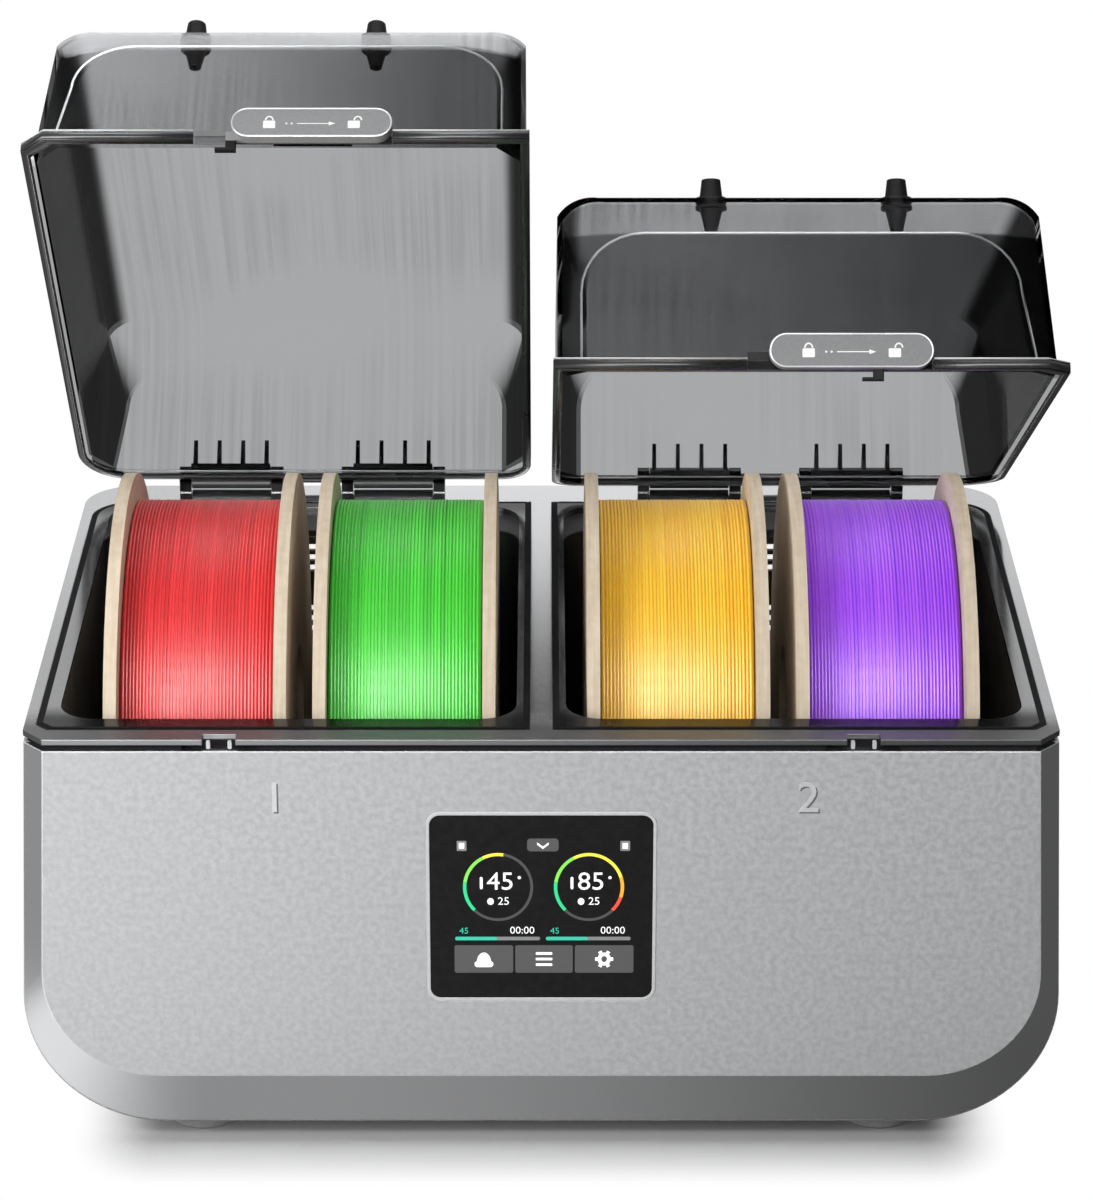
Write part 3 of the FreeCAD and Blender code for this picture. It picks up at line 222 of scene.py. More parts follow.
# Floor tone near the object is darker than white as painted shade; the gloss levels are the floor's glow that
# gloss alone sees, a painted reflection of light and shade
FLOOR_PAINTED_SHADE_TONE = 0.46
GLOSS_FRONT = (1.0, 0.34)
GLOSS_SIDE = 0.33
GLOSS_UNDER = (0.35, 0.28)
FLOOR_BOUNCE = 0.35
FLOOR_HALF = (0.150, -FRONT_Y - 0.010)
FLOOR_FADE = (0.0, 0.036)
FLOOR_SIZE = 6.0
FLOOR_DROP = 0.0003

# Spans over which the floor that gloss sees changes its level, across and in depth, as painted reflection of
# light and shade
CARD_FRONT = (-0.24, 0.24)
CARD_LEFT = (-0.38, -0.25)
CARD_UNDER = (-0.215, -0.13)
CARD_RIGHT = (-0.10, 0.22)
CARD_NEAR = (-0.25, -0.17)

# Camera
VIEW_PITCH = 22.53
VIEW_BACK = 1466.6
VIEW_UP = 657.2
FOCAL_PX = 4272.4
AXIS_PX = (541.3, 620.0)
IMAGE = (1093, 1200)


def at(x, y, z):
    """Point in metres from millimetres across, behind the front face and above the floor."""
    return Vector((MID_X + x * MM, FRONT_Y + y * MM, z * MM))


def on_lid(side, x, y, z):
    """Point of an opened lid from its place on the closed one, in millimetres."""
    turn = OPEN[side]
    reach = PIN_Y - y
    rise = z - PIN_Z
    return at(SIGN[side] * x, PIN_Y - reach * math.cos(turn) + rise * math.sin(turn),
              PIN_Z + reach * math.sin(turn) + rise * math.cos(turn))


def node_tree(name):
    """New material, its node tree and its main shader."""
    made = bpy.data.materials.new(name)
    made.use_nodes = True
    tree = made.node_tree
    return made, tree, tree.nodes["Principled BSDF"]


def join(tree, value, socket):
    """Link an output to a socket, or set a plain value on it."""
    if isinstance(value, bpy.types.NodeSocket):
        tree.links.new(value, socket)
    else:
        socket.default_value = value


def calc(tree, operation, first, second=0.0):
    """Result of one sum on values or outputs."""
    node = tree.nodes.new("ShaderNodeMath")
    node.operation = operation
    join(tree, first, node.inputs[0])
    join(tree, second, node.inputs[1])
    return node.outputs[0]


def along(tree, vector, origin, direction):
    """How far a vector output lies from an origin along a direction."""
    offset = tree.nodes.new("ShaderNodeVectorMath")
    offset.operation = "SUBTRACT"
    tree.links.new(vector, offset.inputs[0])
    offset.inputs[1].default_value = origin
    product = tree.nodes.new("ShaderNodeVectorMath")
    product.operation = "DOT_PRODUCT"
    tree.links.new(offset.outputs["Vector"], product.inputs[0])
    product.inputs[1].default_value = direction
    return product.outputs["Value"]


def span(tree, value, start, end):
    """Map one span of a value onto another, smoothly and held at both ends."""
    node = tree.nodes.new("ShaderNodeMapRange")
    node.interpolation_type = "SMOOTHSTEP"
    for name, part in zip(("From Min", "From Max", "To Min", "To Max"), (*start, *end)):
        node.inputs[name].default_value = part
    tree.links.new(value, node.inputs["Value"])
    return node.outputs["Result"]


def mixed(tree, share, first, second):
    """Number between two numbers or outputs by a share."""
    node = tree.nodes.new("ShaderNodeMix")
    join(tree, share, node.inputs[0])
    join(tree, first, node.inputs[2])
    join(tree, second, node.inputs[3])
    return node.outputs[0]


def noise(tree, scale, detail=3.0, stretch=None):
    """Noise texture in object space, with an optional stretch."""
    coords = tree.nodes.new("ShaderNodeTexCoord")
    texture = tree.nodes.new("ShaderNodeTexNoise")
    texture.inputs["Scale"].default_value = scale
    texture.inputs["Detail"].default_value = detail
    source = coords.outputs["Object"]
    if stretch:
        mapping = tree.nodes.new("ShaderNodeMapping")
        mapping.inputs["Scale"].default_value = stretch
        tree.links.new(source, mapping.inputs["Vector"])
        source = mapping.outputs["Vector"]
    tree.links.new(source, texture.inputs["Vector"])
    return texture


def spread(tree, value, low, high):
    """Map a noise value, which stays near its middle, onto a span."""
    return span(tree, value, (0.3, 0.7), (low, high))


def shades(tree, value, dark, light):
    """Blend two colours by a noise value."""
    ramp = tree.nodes.new("ShaderNodeValToRGB")
    ramp.color_ramp.elements[0].position = 0.3
    ramp.color_ramp.elements[0].color = (*dark, 1)
    ramp.color_ramp.elements[1].position = 0.7
    ramp.color_ramp.elements[1].color = (*light, 1)
    tree.links.new(value, ramp.inputs["Fac"])
    return ramp.outputs["Color"]


def soft_edge(tree, radius):
    """Normal that rounds the edges."""
    rounding = tree.nodes.new("ShaderNodeBevel")
    rounding.inputs["Radius"].default_value = radius
    return rounding.outputs["Normal"]


def bump(tree, height, strength, distance, normal=None):
    """Normal of a fine relief, on an optional rounded normal."""
    relief = tree.nodes.new("ShaderNodeBump")
    join(tree, strength, relief.inputs["Strength"])
    relief.inputs["Distance"].default_value = distance
    tree.links.new(height, relief.inputs["Height"])
    if normal is not None:
        tree.links.new(normal, relief.inputs["Normal"])
    return relief.outputs["Normal"]


def from_pin(tree, place, side):
    """How far a place lies from an opened lid's pin, towards the lid's front and above it."""
    turn = OPEN[side]
    pin = at(0, PIN_Y, PIN_Z)
    return (along(tree, place, pin, (0, -math.cos(turn), math.sin(turn))),
            along(tree, place, pin, (0, math.sin(turn), math.cos(turn))))


def surface(name, colour, rough, grain=900.0, tone=0.08, relief=0.15, depth=0.0002, metal=0.0,
            edge=0.0, gloss=0.5, glow=0.0):
    """Moulded or painted surface: grain in colour, roughness and relief, with softened edges, and an optional
    glow of its own colour, which is painted light.
    """
    made, tree, shader = node_tree(name)
    texture = noise(tree, grain, 3.0)
    dark = tuple(part * (1 - tone) for part in colour)
    light = tuple(min(1.0, part * (1 + tone)) for part in colour)
    tint = shades(tree, texture.outputs["Fac"], dark, light)
    tree.links.new(tint, shader.inputs["Base Color"])
    broad = noise(tree, 40.0, 2.0)
    tree.links.new(spread(tree, broad.outputs["Fac"], rough - 0.05, rough + 0.05), shader.inputs["Roughness"])
    normal = soft_edge(tree, edge) if edge else None
    tree.links.new(bump(tree, texture.outputs["Fac"], relief, depth, normal), shader.inputs["Normal"])
    shader.inputs["Metallic"].default_value = metal
    shader.inputs["Specular IOR Level"].default_value = gloss
    if glow:
        tree.links.new(tint, shader.inputs["Emission Color"])
        shader.inputs["Emission Strength"].default_value = glow
    return made


def glowing(name, colour, strength):
    """Lit mark on the screen, a little uneven like real pixels."""
    made, tree, shader = node_tree(name)
    texture = noise(tree, 2500.0, 1.0)
    dark = tuple(part * 0.94 for part in colour)
    tint = shades(tree, texture.outputs["Fac"], dark, colour)
    tree.links.new(tint, shader.inputs["Base Color"])
    tree.links.new(tint, shader.inputs["Emission Color"])
    shader.inputs["Emission Strength"].default_value = strength
    shader.inputs["Roughness"].default_value = 0.4
    return made


def painted_highlight_mask(tree, radius):
    """1 along outer edges, 0 on flat ground, from how far a rounded normal leans off the true one."""
    truth = tree.nodes.new("ShaderNodeNewGeometry")
    product = tree.nodes.new("ShaderNodeVectorMath")
    product.operation = "DOT_PRODUCT"
    tree.links.new(soft_edge(tree, radius), product.inputs[0])
    tree.links.new(truth.outputs["True Normal"], product.inputs[1])
    return span(tree, product.outputs["Value"], (0.95, 0.995), (1.0, 0.0))


def panel_material():
    """Flake paint on the flat face, smooth satin metal on the bevel round it, and a pale painted highlight
    line along the edges.
    """
    made, tree, shader = node_tree("panel_silver")
    coords = tree.nodes.new("ShaderNodeTexCoord")
    facing = calc(tree, "ABSOLUTE", along(tree, coords.outputs["Normal"], (0, 0, 0), (0, 1, 0)))
    face = span(tree, facing, (0.955, 0.985), (0.0, 1.0))
    patch = noise(tree, 420.0, 4.0)
    flake = noise(tree, 2600.0, 2.0)
    paint = calc(tree, "MULTIPLY", spread(tree, patch.outputs["Fac"], 0.94, 1.06),
                 spread(tree, flake.outputs["Fac"], 0.95, 1.05))
    edge = painted_highlight_mask(tree, 0.0007)
    tone = mixed(tree, face, BEVEL_TONE, calc(tree, "MULTIPLY", paint, PANEL_TONE))
    # Painted highlight: the edges take a pale tone of 0.86.
    tree.links.new(neutral(tree, mixed(tree, edge, tone, 0.86)), shader.inputs["Base Color"])
    tree.links.new(mixed(tree, edge, mixed(tree, face, 1.0, 0.40), 0.1), shader.inputs["Metallic"])
    tree.links.new(mixed(tree, face, 0.24, spread(tree, patch.outputs["Fac"], 0.38, 0.50)),
                   shader.inputs["Roughness"])
    strength = calc(tree, "MULTIPLY", face, 0.25)
    tree.links.new(bump(tree, flake.outputs["Fac"], strength, 0.0001, soft_edge(tree, 0.0010)),
                   shader.inputs["Normal"])
    return made


def frame_material():
    """Satin metal of the rim, rougher along the front and dark on the hinge ears; painted shade darkens it
    along the front, painted light makes it paler to the back, and its front faces fade from left to right as
    painted shade.
    """
    made, tree, shader = node_tree("frame_light")
    coords = tree.nodes.new("ShaderNodeTexCoord")
    depth = along(tree, coords.outputs["Object"], at(0, 0, 0), (0, 1, 0))
    height = along(tree, coords.outputs["Object"], at(0, 0, 0), (0, 0, 1))
    facing = along(tree, coords.outputs["Normal"], (0, 0, 0), (0, -1, 0))
    front = span(tree, facing, (0.6, 0.9), (0.0, 1.0))
    # Painted shade at the front and painted light towards the back.
    lip = calc(tree, "MULTIPLY", span(tree, depth, RIM_NEAR, (0.13, 0.55)),
               span(tree, depth, RIM_FAR, (1.0, 1.4)))
    across = along(tree, coords.outputs["Object"], at(0, 0, 0), (1, 0, 0))
    # Painted falloff: front-facing faces are lighter at the left than at the right.
    lip = mixed(tree, front, lip, span(tree, across, RIM_ACROSS, (0.32, 0.10)))
    ears = span(tree, height, [(RIM_Z + rise) * MM for rise in EAR_RISE], (1.0, 0.05))
    grain = noise(tree, 1300.0, 3.0)
    tone = calc(tree, "MULTIPLY", lip, spread(tree, grain.outputs["Fac"], 0.96, 1.04))
    tree.links.new(neutral(tree, calc(tree, "MULTIPLY", tone, ears)), shader.inputs["Base Color"])
    dull = span(tree, depth, RIM_NEAR, (0.30, 0.0))
    tree.links.new(calc(tree, "ADD", dull, spread(tree, grain.outputs["Fac"], 0.08, 0.13)),
                   shader.inputs["Roughness"])
    tree.links.new(soft_edge(tree, 0.0006), shader.inputs["Normal"])
    shader.inputs["Metallic"].default_value = 1.0
    return made


def ledge_material():
    """Gloss metal of the ledge inside the seal, pale along the sides; painted shade darkens it along the
    front and the back.
    """
    made, tree, shader = node_tree("ledge_gloss")
    coords = tree.nodes.new("ShaderNodeTexCoord")
    depth = along(tree, coords.outputs["Object"], at(0, 0, 0), (0, 1, 0))
    # Painted shade towards the front and the back of the ledge.
    near = span(tree, depth, LEDGE_NEAR, (0.05, 0.42))
    back = span(tree, depth, LEDGE_FAR, (1.0, 0.15))
    grain = noise(tree, 900.0, 3.0)
    tone = calc(tree, "MULTIPLY", calc(tree, "MULTIPLY", near, back),
                spread(tree, grain.outputs["Fac"], 0.94, 1.06))
    tree.links.new(neutral(tree, tone), shader.inputs["Base Color"])
    tree.links.new(spread(tree, grain.outputs["Fac"], 0.12, 0.18), shader.inputs["Roughness"])
    shader.inputs["Metallic"].default_value = 1.0
    return made


def neutral(tree, value):
    """Colour of a slightly cool grey from its level."""
    ramp = tree.nodes.new("ShaderNodeValToRGB")
    ramp.color_ramp.elements[0].color = (0, 0, 0, 1)
    ramp.color_ramp.elements[1].color = (0.975, 0.985, 1.0, 1)
    tree.links.new(value, ramp.inputs["Fac"])
    return ramp.outputs["Color"]


def smoke(side):
    """Clear smoke-tinted plastic with flow lines; painted shade darkens the side walls and deepens the front
    wall to the right, and painted reflection lightens the top bevel and makes it less clear at the nose.
    """
    made, tree, shader = node_tree("lid_smoke_" + side)
    coords = tree.nodes.new("ShaderNodeTexCoord")
    place = coords.outputs["Object"]
    reach, rise = from_pin(tree, place, side)
    across = along(tree, place, at(0, PIN_Y, PIN_Z), (1, 0, 0))
    facing = calc(tree, "ABSOLUTE", along(tree, coords.outputs["Normal"], (0, 0, 0), (1, 0, 0)))
    # Painted shade: side-facing walls let through far less light than the pane.
    sides = span(tree, facing, (0.25, 0.62), (1.0, SMOKE_AND_PAINTED_LIGHT["side"] / SMOKE_AND_PAINTED_LIGHT["pane"]))
    edges = sorted(SIGN[side] * edge * MM for edge in (15.0, 185.0))
    # Painted shade: the front wall's tint deepens towards the right, set per lid.
    wall = span(tree, across, edges, SMOKE_AND_PAINTED_LIGHT["front_" + side])
    crease = (LID_TOP - LID_BEVEL_TOP - PIN_Z) * MM
    above = span(tree, rise, (crease - 0.0006, crease + 0.0006), (0.0, 1.0))
    # Painted reflection: above the crease the top bevel takes a lighter tint.
    front = mixed(tree, above, wall, SMOKE_AND_PAINTED_LIGHT["bevel_" + side])
    foot = calc(tree, "SUBTRACT", rise, (LID_BOTTOM - PIN_Z) * MM)
    inward = calc(tree, "SUBTRACT", calc(tree, "SUBTRACT", PIN_Y * MM, reach),
                  calc(tree, "MULTIPLY", foot, LID_LEAN))
    nose = span(tree, inward, NOSE_EDGE, (1.0, 0.0))
    # Painted reflection: flat parts of the top bevel at the nose are made less clear, so they look lit.
    flat = span(tree, facing, (0.30, 0.60), (SMOKE_AND_PAINTED_LIGHT["frost_" + side], 0.0))
    painted_reflection = calc(tree, "MULTIPLY", calc(tree, "MULTIPLY", nose, above), flat)
    flow = noise(tree, 420.0, 2.0, (1.0, 0.012, 0.012))
    cloud = noise(tree, 14.0, 1.0)
    streak = calc(tree, "MULTIPLY", spread(tree, flow.outputs["Fac"], 0.0, 0.16),
                  spread(tree, cloud.outputs["Fac"], 0.0, 1.0))
    # Painted shade: near the nose the side-facing parts are darkened less.
    sides = calc(tree, "MAXIMUM", sides, calc(tree, "MULTIPLY", nose, SMOKE_AND_PAINTED_LIGHT["bevel_side"]))
    tint = calc(tree, "MULTIPLY", mixed(tree, nose, SMOKE_AND_PAINTED_LIGHT["pane"], front), sides)
    tint = calc(tree, "MULTIPLY", tint, calc(tree, "SUBTRACT", 1.0, streak))
    tree.links.new(neutral(tree, tint), shader.inputs["Base Color"])
    tree.links.new(bump(tree, flow.outputs["Fac"], 0.03, 0.0003), shader.inputs["Normal"])
    tree.links.new(calc(tree, "SUBTRACT", 1.0, painted_reflection), shader.inputs["Transmission Weight"])
    shader.inputs["Roughness"].default_value = 0.03
    shader.inputs["IOR"].default_value = LID_IOR
    return made


def latch_material(side):
    """Grey pill of a latch; painted shade darkens the hook below it and the slide behind the hood's wall."""
    made, tree, shader = node_tree("latch_grey_" + side)
    coords = tree.nodes.new("ShaderNodeTexCoord")
    reach, rise = from_pin(tree, coords.outputs["Object"], side)
    foot = (LID_BOTTOM + 0.2 - PIN_Z) * MM
    wall = (PIN_Y - LID_FRONT - 0.6) * MM
    # Painted shade: the part below the lid's foot and behind its front wall is darkened.
    painted_shade_factor = calc(tree, "MULTIPLY", span(tree, rise, (foot - 0.0002, foot + 0.0002), (0.05, 1.0)),
                 span(tree, reach, (wall - 0.0002, wall + 0.0002), (0.05, 1.0)))
    grain = noise(tree, 1200.0, 3.0)
    tone = calc(tree, "MULTIPLY", painted_shade_factor, spread(tree, grain.outputs["Fac"], 0.25, 0.28))
    tree.links.new(neutral(tree, tone), shader.inputs["Base Color"])
    tree.links.new(spread(tree, grain.outputs["Fac"], 0.46, 0.54), shader.inputs["Roughness"])
    tree.links.new(soft_edge(tree, 0.0012), shader.inputs["Normal"])
    shader.inputs["Specular IOR Level"].default_value = 0.06
    return made


def card_material():
    """Raw card: fibres, flecks and a layered look across the thickness."""
    made, tree, shader = node_tree("card")
    fibre = noise(tree, 260.0, 5.0)
    layer = noise(tree, 700.0, 1.0, (1.0, 0.05, 0.05))
    mix = tree.nodes.new("ShaderNodeMix")
    mix.data_type = "RGBA"
    mix.inputs["Factor"].default_value = 0.35
    tree.links.new(shades(tree, fibre.outputs["Fac"], (0.56, 0.45, 0.32), (0.69, 0.58, 0.44)), mix.inputs[6])
    tree.links.new(shades(tree, layer.outputs["Fac"], (0.49, 0.38, 0.26), (0.76, 0.67, 0.53)), mix.inputs[7])
    tree.links.new(mix.outputs[2], shader.inputs["Base Color"])
    tree.links.new(bump(tree, fibre.outputs["Fac"], 0.3, 0.0002), shader.inputs["Normal"])
    tree.links.new(spread(tree, fibre.outputs["Fac"], 0.75, 0.92), shader.inputs["Roughness"])
    return made


def filament_material(name, dark, light):
    """Glossy filament: tone changes from turn to turn, with a satin sheen."""
    made, tree, shader = node_tree(name)
    drift = noise(tree, 560.0, 2.0, (1.0, 0.004, 0.004))
    tree.links.new(shades(tree, drift.outputs["Fac"], dark, light), shader.inputs["Base Color"])
    fine = noise(tree, 1200.0, 2.0)
    tree.links.new(spread(tree, fine.outputs["Fac"], 0.34, 0.42), shader.inputs["Roughness"])
    tree.links.new(bump(tree, fine.outputs["Fac"], 0.05, 0.0001), shader.inputs["Normal"])
    shader.inputs["IOR"].default_value = FILAMENT_IOR
    return made


MAT = {
    "housing": surface("housing_grey", (0.42, 0.425, 0.435), 0.36, 1500, 0.07, 0.15, 0.0001, 0.5, 0.0012),
    "panel": panel_material(),
    "frame": frame_material(),
    "trim": ledge_material(),
    "seal": surface("seal_rubber", (0.008, 0.008, 0.009), 0.6, 700, 0.2, 0.2, 0.0001, gloss=0.05),
    "foot": surface("foot_rubber", (0.34, 0.34, 0.345), 0.4, 800, 0.12, 0.2, 0.0002, 0.3, 0.001),
    "steel": surface("steel", (0.45, 0.45, 0.46), 0.3, 600, 0.08, 0.1, 0.0001, 1.0),
    "bezel": surface("bezel_light", (0.62, 0.625, 0.63), 0.35, 900, 0.05, 0.05, 0.0001, 0.2, 0.0003),
    "screen": surface("screen_black", (0.010, 0.010, 0.0105), 0.30, 300, 0.2, 0.01, 0.0001, gloss=0.12),
    "display": surface("display_grey", (0.10, 0.10, 0.105), 0.5, 500, 0.1),
    "board": surface("board_green", (0.02, 0.14, 0.06), 0.4, 260, 0.25),
    "black": surface("black_plastic", (0.014, 0.014, 0.015), 0.38, 900, 0.2, 0.15, 0.0001, 0.0, 0.0004),
    "supply": surface("supply_metal", (0.42, 0.42, 0.43), 0.35, 300, 0.1, 0.1, 0.0001, 0.8),
    # The desiccant glows a little: painted light that brightens its slots.
    "desiccant": surface("desiccant_white", (0.92, 0.92, 0.90), 0.8, 400, 0.05, 0.4, 0.0004, glow=0.9),
    "liner": surface("liner_black", (0.013, 0.013, 0.014), 0.42, 900, 0.2, 0.2, 0.0001, 0.0, 0.001),
    "heater": surface("heater_aluminium", (0.6, 0.6, 0.61), 0.35, 500, 0.08, 0.1, 0.0001, 1.0),
    "lid_left": smoke("left"),
    "lid_right": smoke("right"),
    "latch_left": latch_material("left"),
    "latch_right": latch_material("right"),
    # Pale grey of the keeper tabs, also used for the painted highlight line round each latch pill.
    "rim_line": surface("latch_rim", (0.62, 0.625, 0.63), 0.3, 1200, 0.05, 0.05, 0.0001, 0.3),
    "outlet": surface("outlet_rubber", (0.010, 0.010, 0.011), 0.5, 700, 0.2, 0.2, 0.0001, 0.0, 0.0005, 0.08),
    "card": card_material(),
    "roller": surface("roller_grey", (0.16, 0.16, 0.165), 0.4, 700, 0.1),
    # Painted highlight lines on the lids, and the painted shade of their lip and latch strips.
    "crease": surface("lid_painted_highlight", (0.58, 0.59, 0.60), 0.3, 500, 0.06, gloss=0.1),
    "lip": surface("lid_painted_shade", (0.020, 0.020, 0.021), 0.3, 600, 0.2),
    "mark": surface("printed_white", (0.80, 0.80, 0.80), 0.5, 900, 0.04),
    "numeral": surface("engraved_light", (0.62, 0.625, 0.63), 0.35, 1200, 0.06, 0.1, 0.0001, 0.2),
    "groove": surface("numeral_painted_shadow", (0.12, 0.12, 0.125), 0.5, 1200, 0.1),
    "ui_white": glowing("ui_white", (0.85, 0.85, 0.85), 0.55),
    "ui_grey": glowing("ui_grey", (0.072, 0.072, 0.073), 0.4),
    "ui_track": glowing("ui_track", (0.058, 0.058, 0.060), 0.4),
    "ui_pale": glowing("ui_pale", (0.20, 0.20, 0.205), 0.4),
    "ui_teal": glowing("ui_teal", (0.03, 0.45, 0.30), 0.55),
    "ui_0": glowing("ui_green", (0.02, 0.55, 0.22), 0.6),
    "ui_1": glowing("ui_leaf", (0.20, 0.62, 0.08), 0.6),
    "ui_2": glowing("ui_yellow", (0.72, 0.66, 0.06), 0.6),
    "ui_3": glowing("ui_amber", (0.80, 0.36, 0.03), 0.6),
    "ui_4": glowing("ui_red", (0.72, 0.07, 0.04), 0.6),
    "fil_1": filament_material("filament_red", (0.57, 0.009, 0.012), (0.76, 0.022, 0.026)),
    "fil_2": filament_material("filament_green", (0.034, 0.47, 0.019), (0.067, 0.69, 0.040)),
    "fil_3": filament_material("filament_orange", (0.88, 0.45, 0.010), (1.0, 0.64, 0.03)),
    "fil_4": filament_material("filament_purple", (0.30, 0.040, 0.85), (0.46, 0.085, 1.0)),
}


def dress():
    """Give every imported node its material."""
    look = {"base_shell": "housing", "bottom_cover": "housing", "front_panel": "panel",
            "top_frame": "frame", "housing_gasket": "seal", "lid_seals": "seal", "feet": "foot",
            "cover_screws": "steel", "hinge_pins": "black", "screen_frame": "bezel",
            "screen_glass": "screen", "display_module": "display", "control_board": "board",
            "humidity_sensors": "board", "power_inlet": "black", "switch_case": "black",
            "switch_rocker": "black", "power_supply": "supply", "desiccant_packs": "desiccant"}
    starts = {"chamber_liner": "liner", "roller_cradle": "liner", "desiccant_cover": "liner",
              "heater": "heater", "fan_housing": "black", "fan_rotor": "black",
              "latch_slider_left": "latch_left", "latch_slider_right": "latch_right",
              "lid_shell_left": "lid_left", "lid_shell_right": "lid_right",
              "hinge_leaves": "black", "outlet_fittings": "outlet", "spool": "card", "roller": "roller"}
    for number in range(1, 5):
        look["filament_core_%d" % number] = "fil_%d" % number
        look["filament_turns_%d" % number] = "fil_%d" % number
    for name, obj in NODES.items():
        key = look.get(name)
        if key is None:
            key = next(value for start, value in starts.items() if name.startswith(start))
        if not obj.material_slots:
            obj.data.materials.append(MAT[key])
        for slot in obj.material_slots:
            slot.material = MAT[key]


def piece(name, parts, body, smooth=False):
    """One object from several (points, faces, material key) parts, riding on a body."""
    points = []
    faces = []
    keys = []
    index = []
    for part_points, part_faces, key in parts:
        if key not in keys:
            keys.append(key)
        start = len(points)
        points += [tuple(point) for point in part_points]
        faces += [tuple(corner + start for corner in face) for face in part_faces]
        index += [keys.index(key)] * len(part_faces)
    mesh = bpy.data.meshes.new(name)
    mesh.from_pydata(points, [], faces)
    for key in keys:
        mesh.materials.append(MAT[key])
    mesh.polygons.foreach_set("material_index", index)
    mesh.polygons.foreach_set("use_smooth", [smooth] * len(faces))
    mesh.update()
    obj = bpy.data.objects.new(name, mesh)
    bpy.context.scene.collection.objects.link(obj)
    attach(obj, body)
    return obj


def tube(path, radius, closed=False, sides=WIRE_SIDES):
    """Points and faces of a round tube along a path."""
    count = len(path)
    points = []
    normal = None
    for index, place in enumerate(path):
        before = path[index - 1] if index or closed else place
        after = path[(index + 1) % count] if index < count - 1 or closed else place
        along = (after - before).normalized()
        if normal is None:
            guide = Vector((0, 0, 1)) if abs(along.z) < 0.9 else Vector((1, 0, 0))
            normal = along.cross(guide).normalized()
        normal = (normal - along * normal.dot(along)).normalized()
        side = along.cross(normal)
        for step in range(sides):
            angle = 2 * math.pi * step / sides
            points.append(place + normal * (radius * math.cos(angle)) + side * (radius * math.sin(angle)))
    faces = []
    for index in range(count if closed else count - 1):
        here = index * sides
        there = ((index + 1) % count) * sides
        for step in range(sides):
            near = (step + 1) % sides
            faces.append((here + step, here + near, there + near, there + step))
    if not closed:
        faces.append(tuple(range(sides - 1, -1, -1)))
        faces.append(tuple(range((count - 1) * sides, count * sides)))
    return points, faces


def slab(outline, front, back, place):
    """Thin plate from a flat outline (x, z): place(x, y, z) gives each corner."""
    count = len(outline)
    points = [place(x, front, z) for x, z in outline] + [place(x, back, z) for x, z in outline]
    faces = [tuple(range(count)), tuple(range(2 * count - 1, count - 1, -1))]
    for index in range(count):
        after = (index + 1) % count
        faces.append((index, index + count, after + count, after))
    return points, faces


def rounded(x, z, width, height, radius, steps=5):
    """Outline of a rounded rectangle about (x, z)."""
    outline = []
    for quarter, (sx, sz) in enumerate(((1, 1), (-1, 1), (-1, -1), (1, -1))):
        for step in range(steps + 1):
            angle = math.pi / 2 * (quarter + step / steps)
            outline.append((x + sx * (width / 2 - radius) + radius * math.cos(angle),
                            z + sz * (height / 2 - radius) + radius * math.sin(angle)))
    return outline


def arc_points(x, z, radii, start, end, steps=8):
    """Points along a piece of an ellipse, angles in degrees."""
    points = []
    for step in range(steps + 1):
        angle = math.radians(start + (end - start) * step / steps)
        points.append((x + radii[0] * math.cos(angle), z + radii[1] * math.sin(angle)))
    return points


def arc_band(x, z, radii, thick, start, end, steps=10):
    """Outline of a band along an ellipse, angles in degrees."""
    inner = [radius - thick for radius in radii]
    return arc_points(x, z, radii, start, end, steps) + arc_points(x, z, inner, start, end, steps)[::-1]


def from_curve(curve):
    """Points and faces of a filled curve, which is then removed."""
    made = bpy.data.objects.new("outline", curve)
    mesh = bpy.data.meshes.new_from_object(made)
    points = [tuple(point.co) for point in mesh.vertices]
    faces = [tuple(face.vertices) for face in mesh.polygons]
    bpy.data.objects.remove(made)
    bpy.data.curves.remove(curve)
    bpy.data.meshes.remove(mesh)
    return points, faces


def words(text, size, x, z):
    """Triangles of plain numerals as (points, faces) in millimetres, centred on (x, z)."""
    curve = bpy.data.curves.new("numerals", "FONT")
    curve.body = text
    curve.size = size
    curve.extrude = 0.5
    curve.align_x = "CENTER"
    curve.align_y = "CENTER"
    curve.resolution_u = 3
    points, faces = from_curve(curve)
    return [(x + px, pz, z + py) for px, py, pz in points], faces


def numerals(text, size, x, z, front, back, place, key):
    """Raised numerals between two depths, as a part."""
    points, faces = words(text, size, x, z)
    return [place(px, front if py > 0 else back, pz) for px, py, pz in points], faces, key


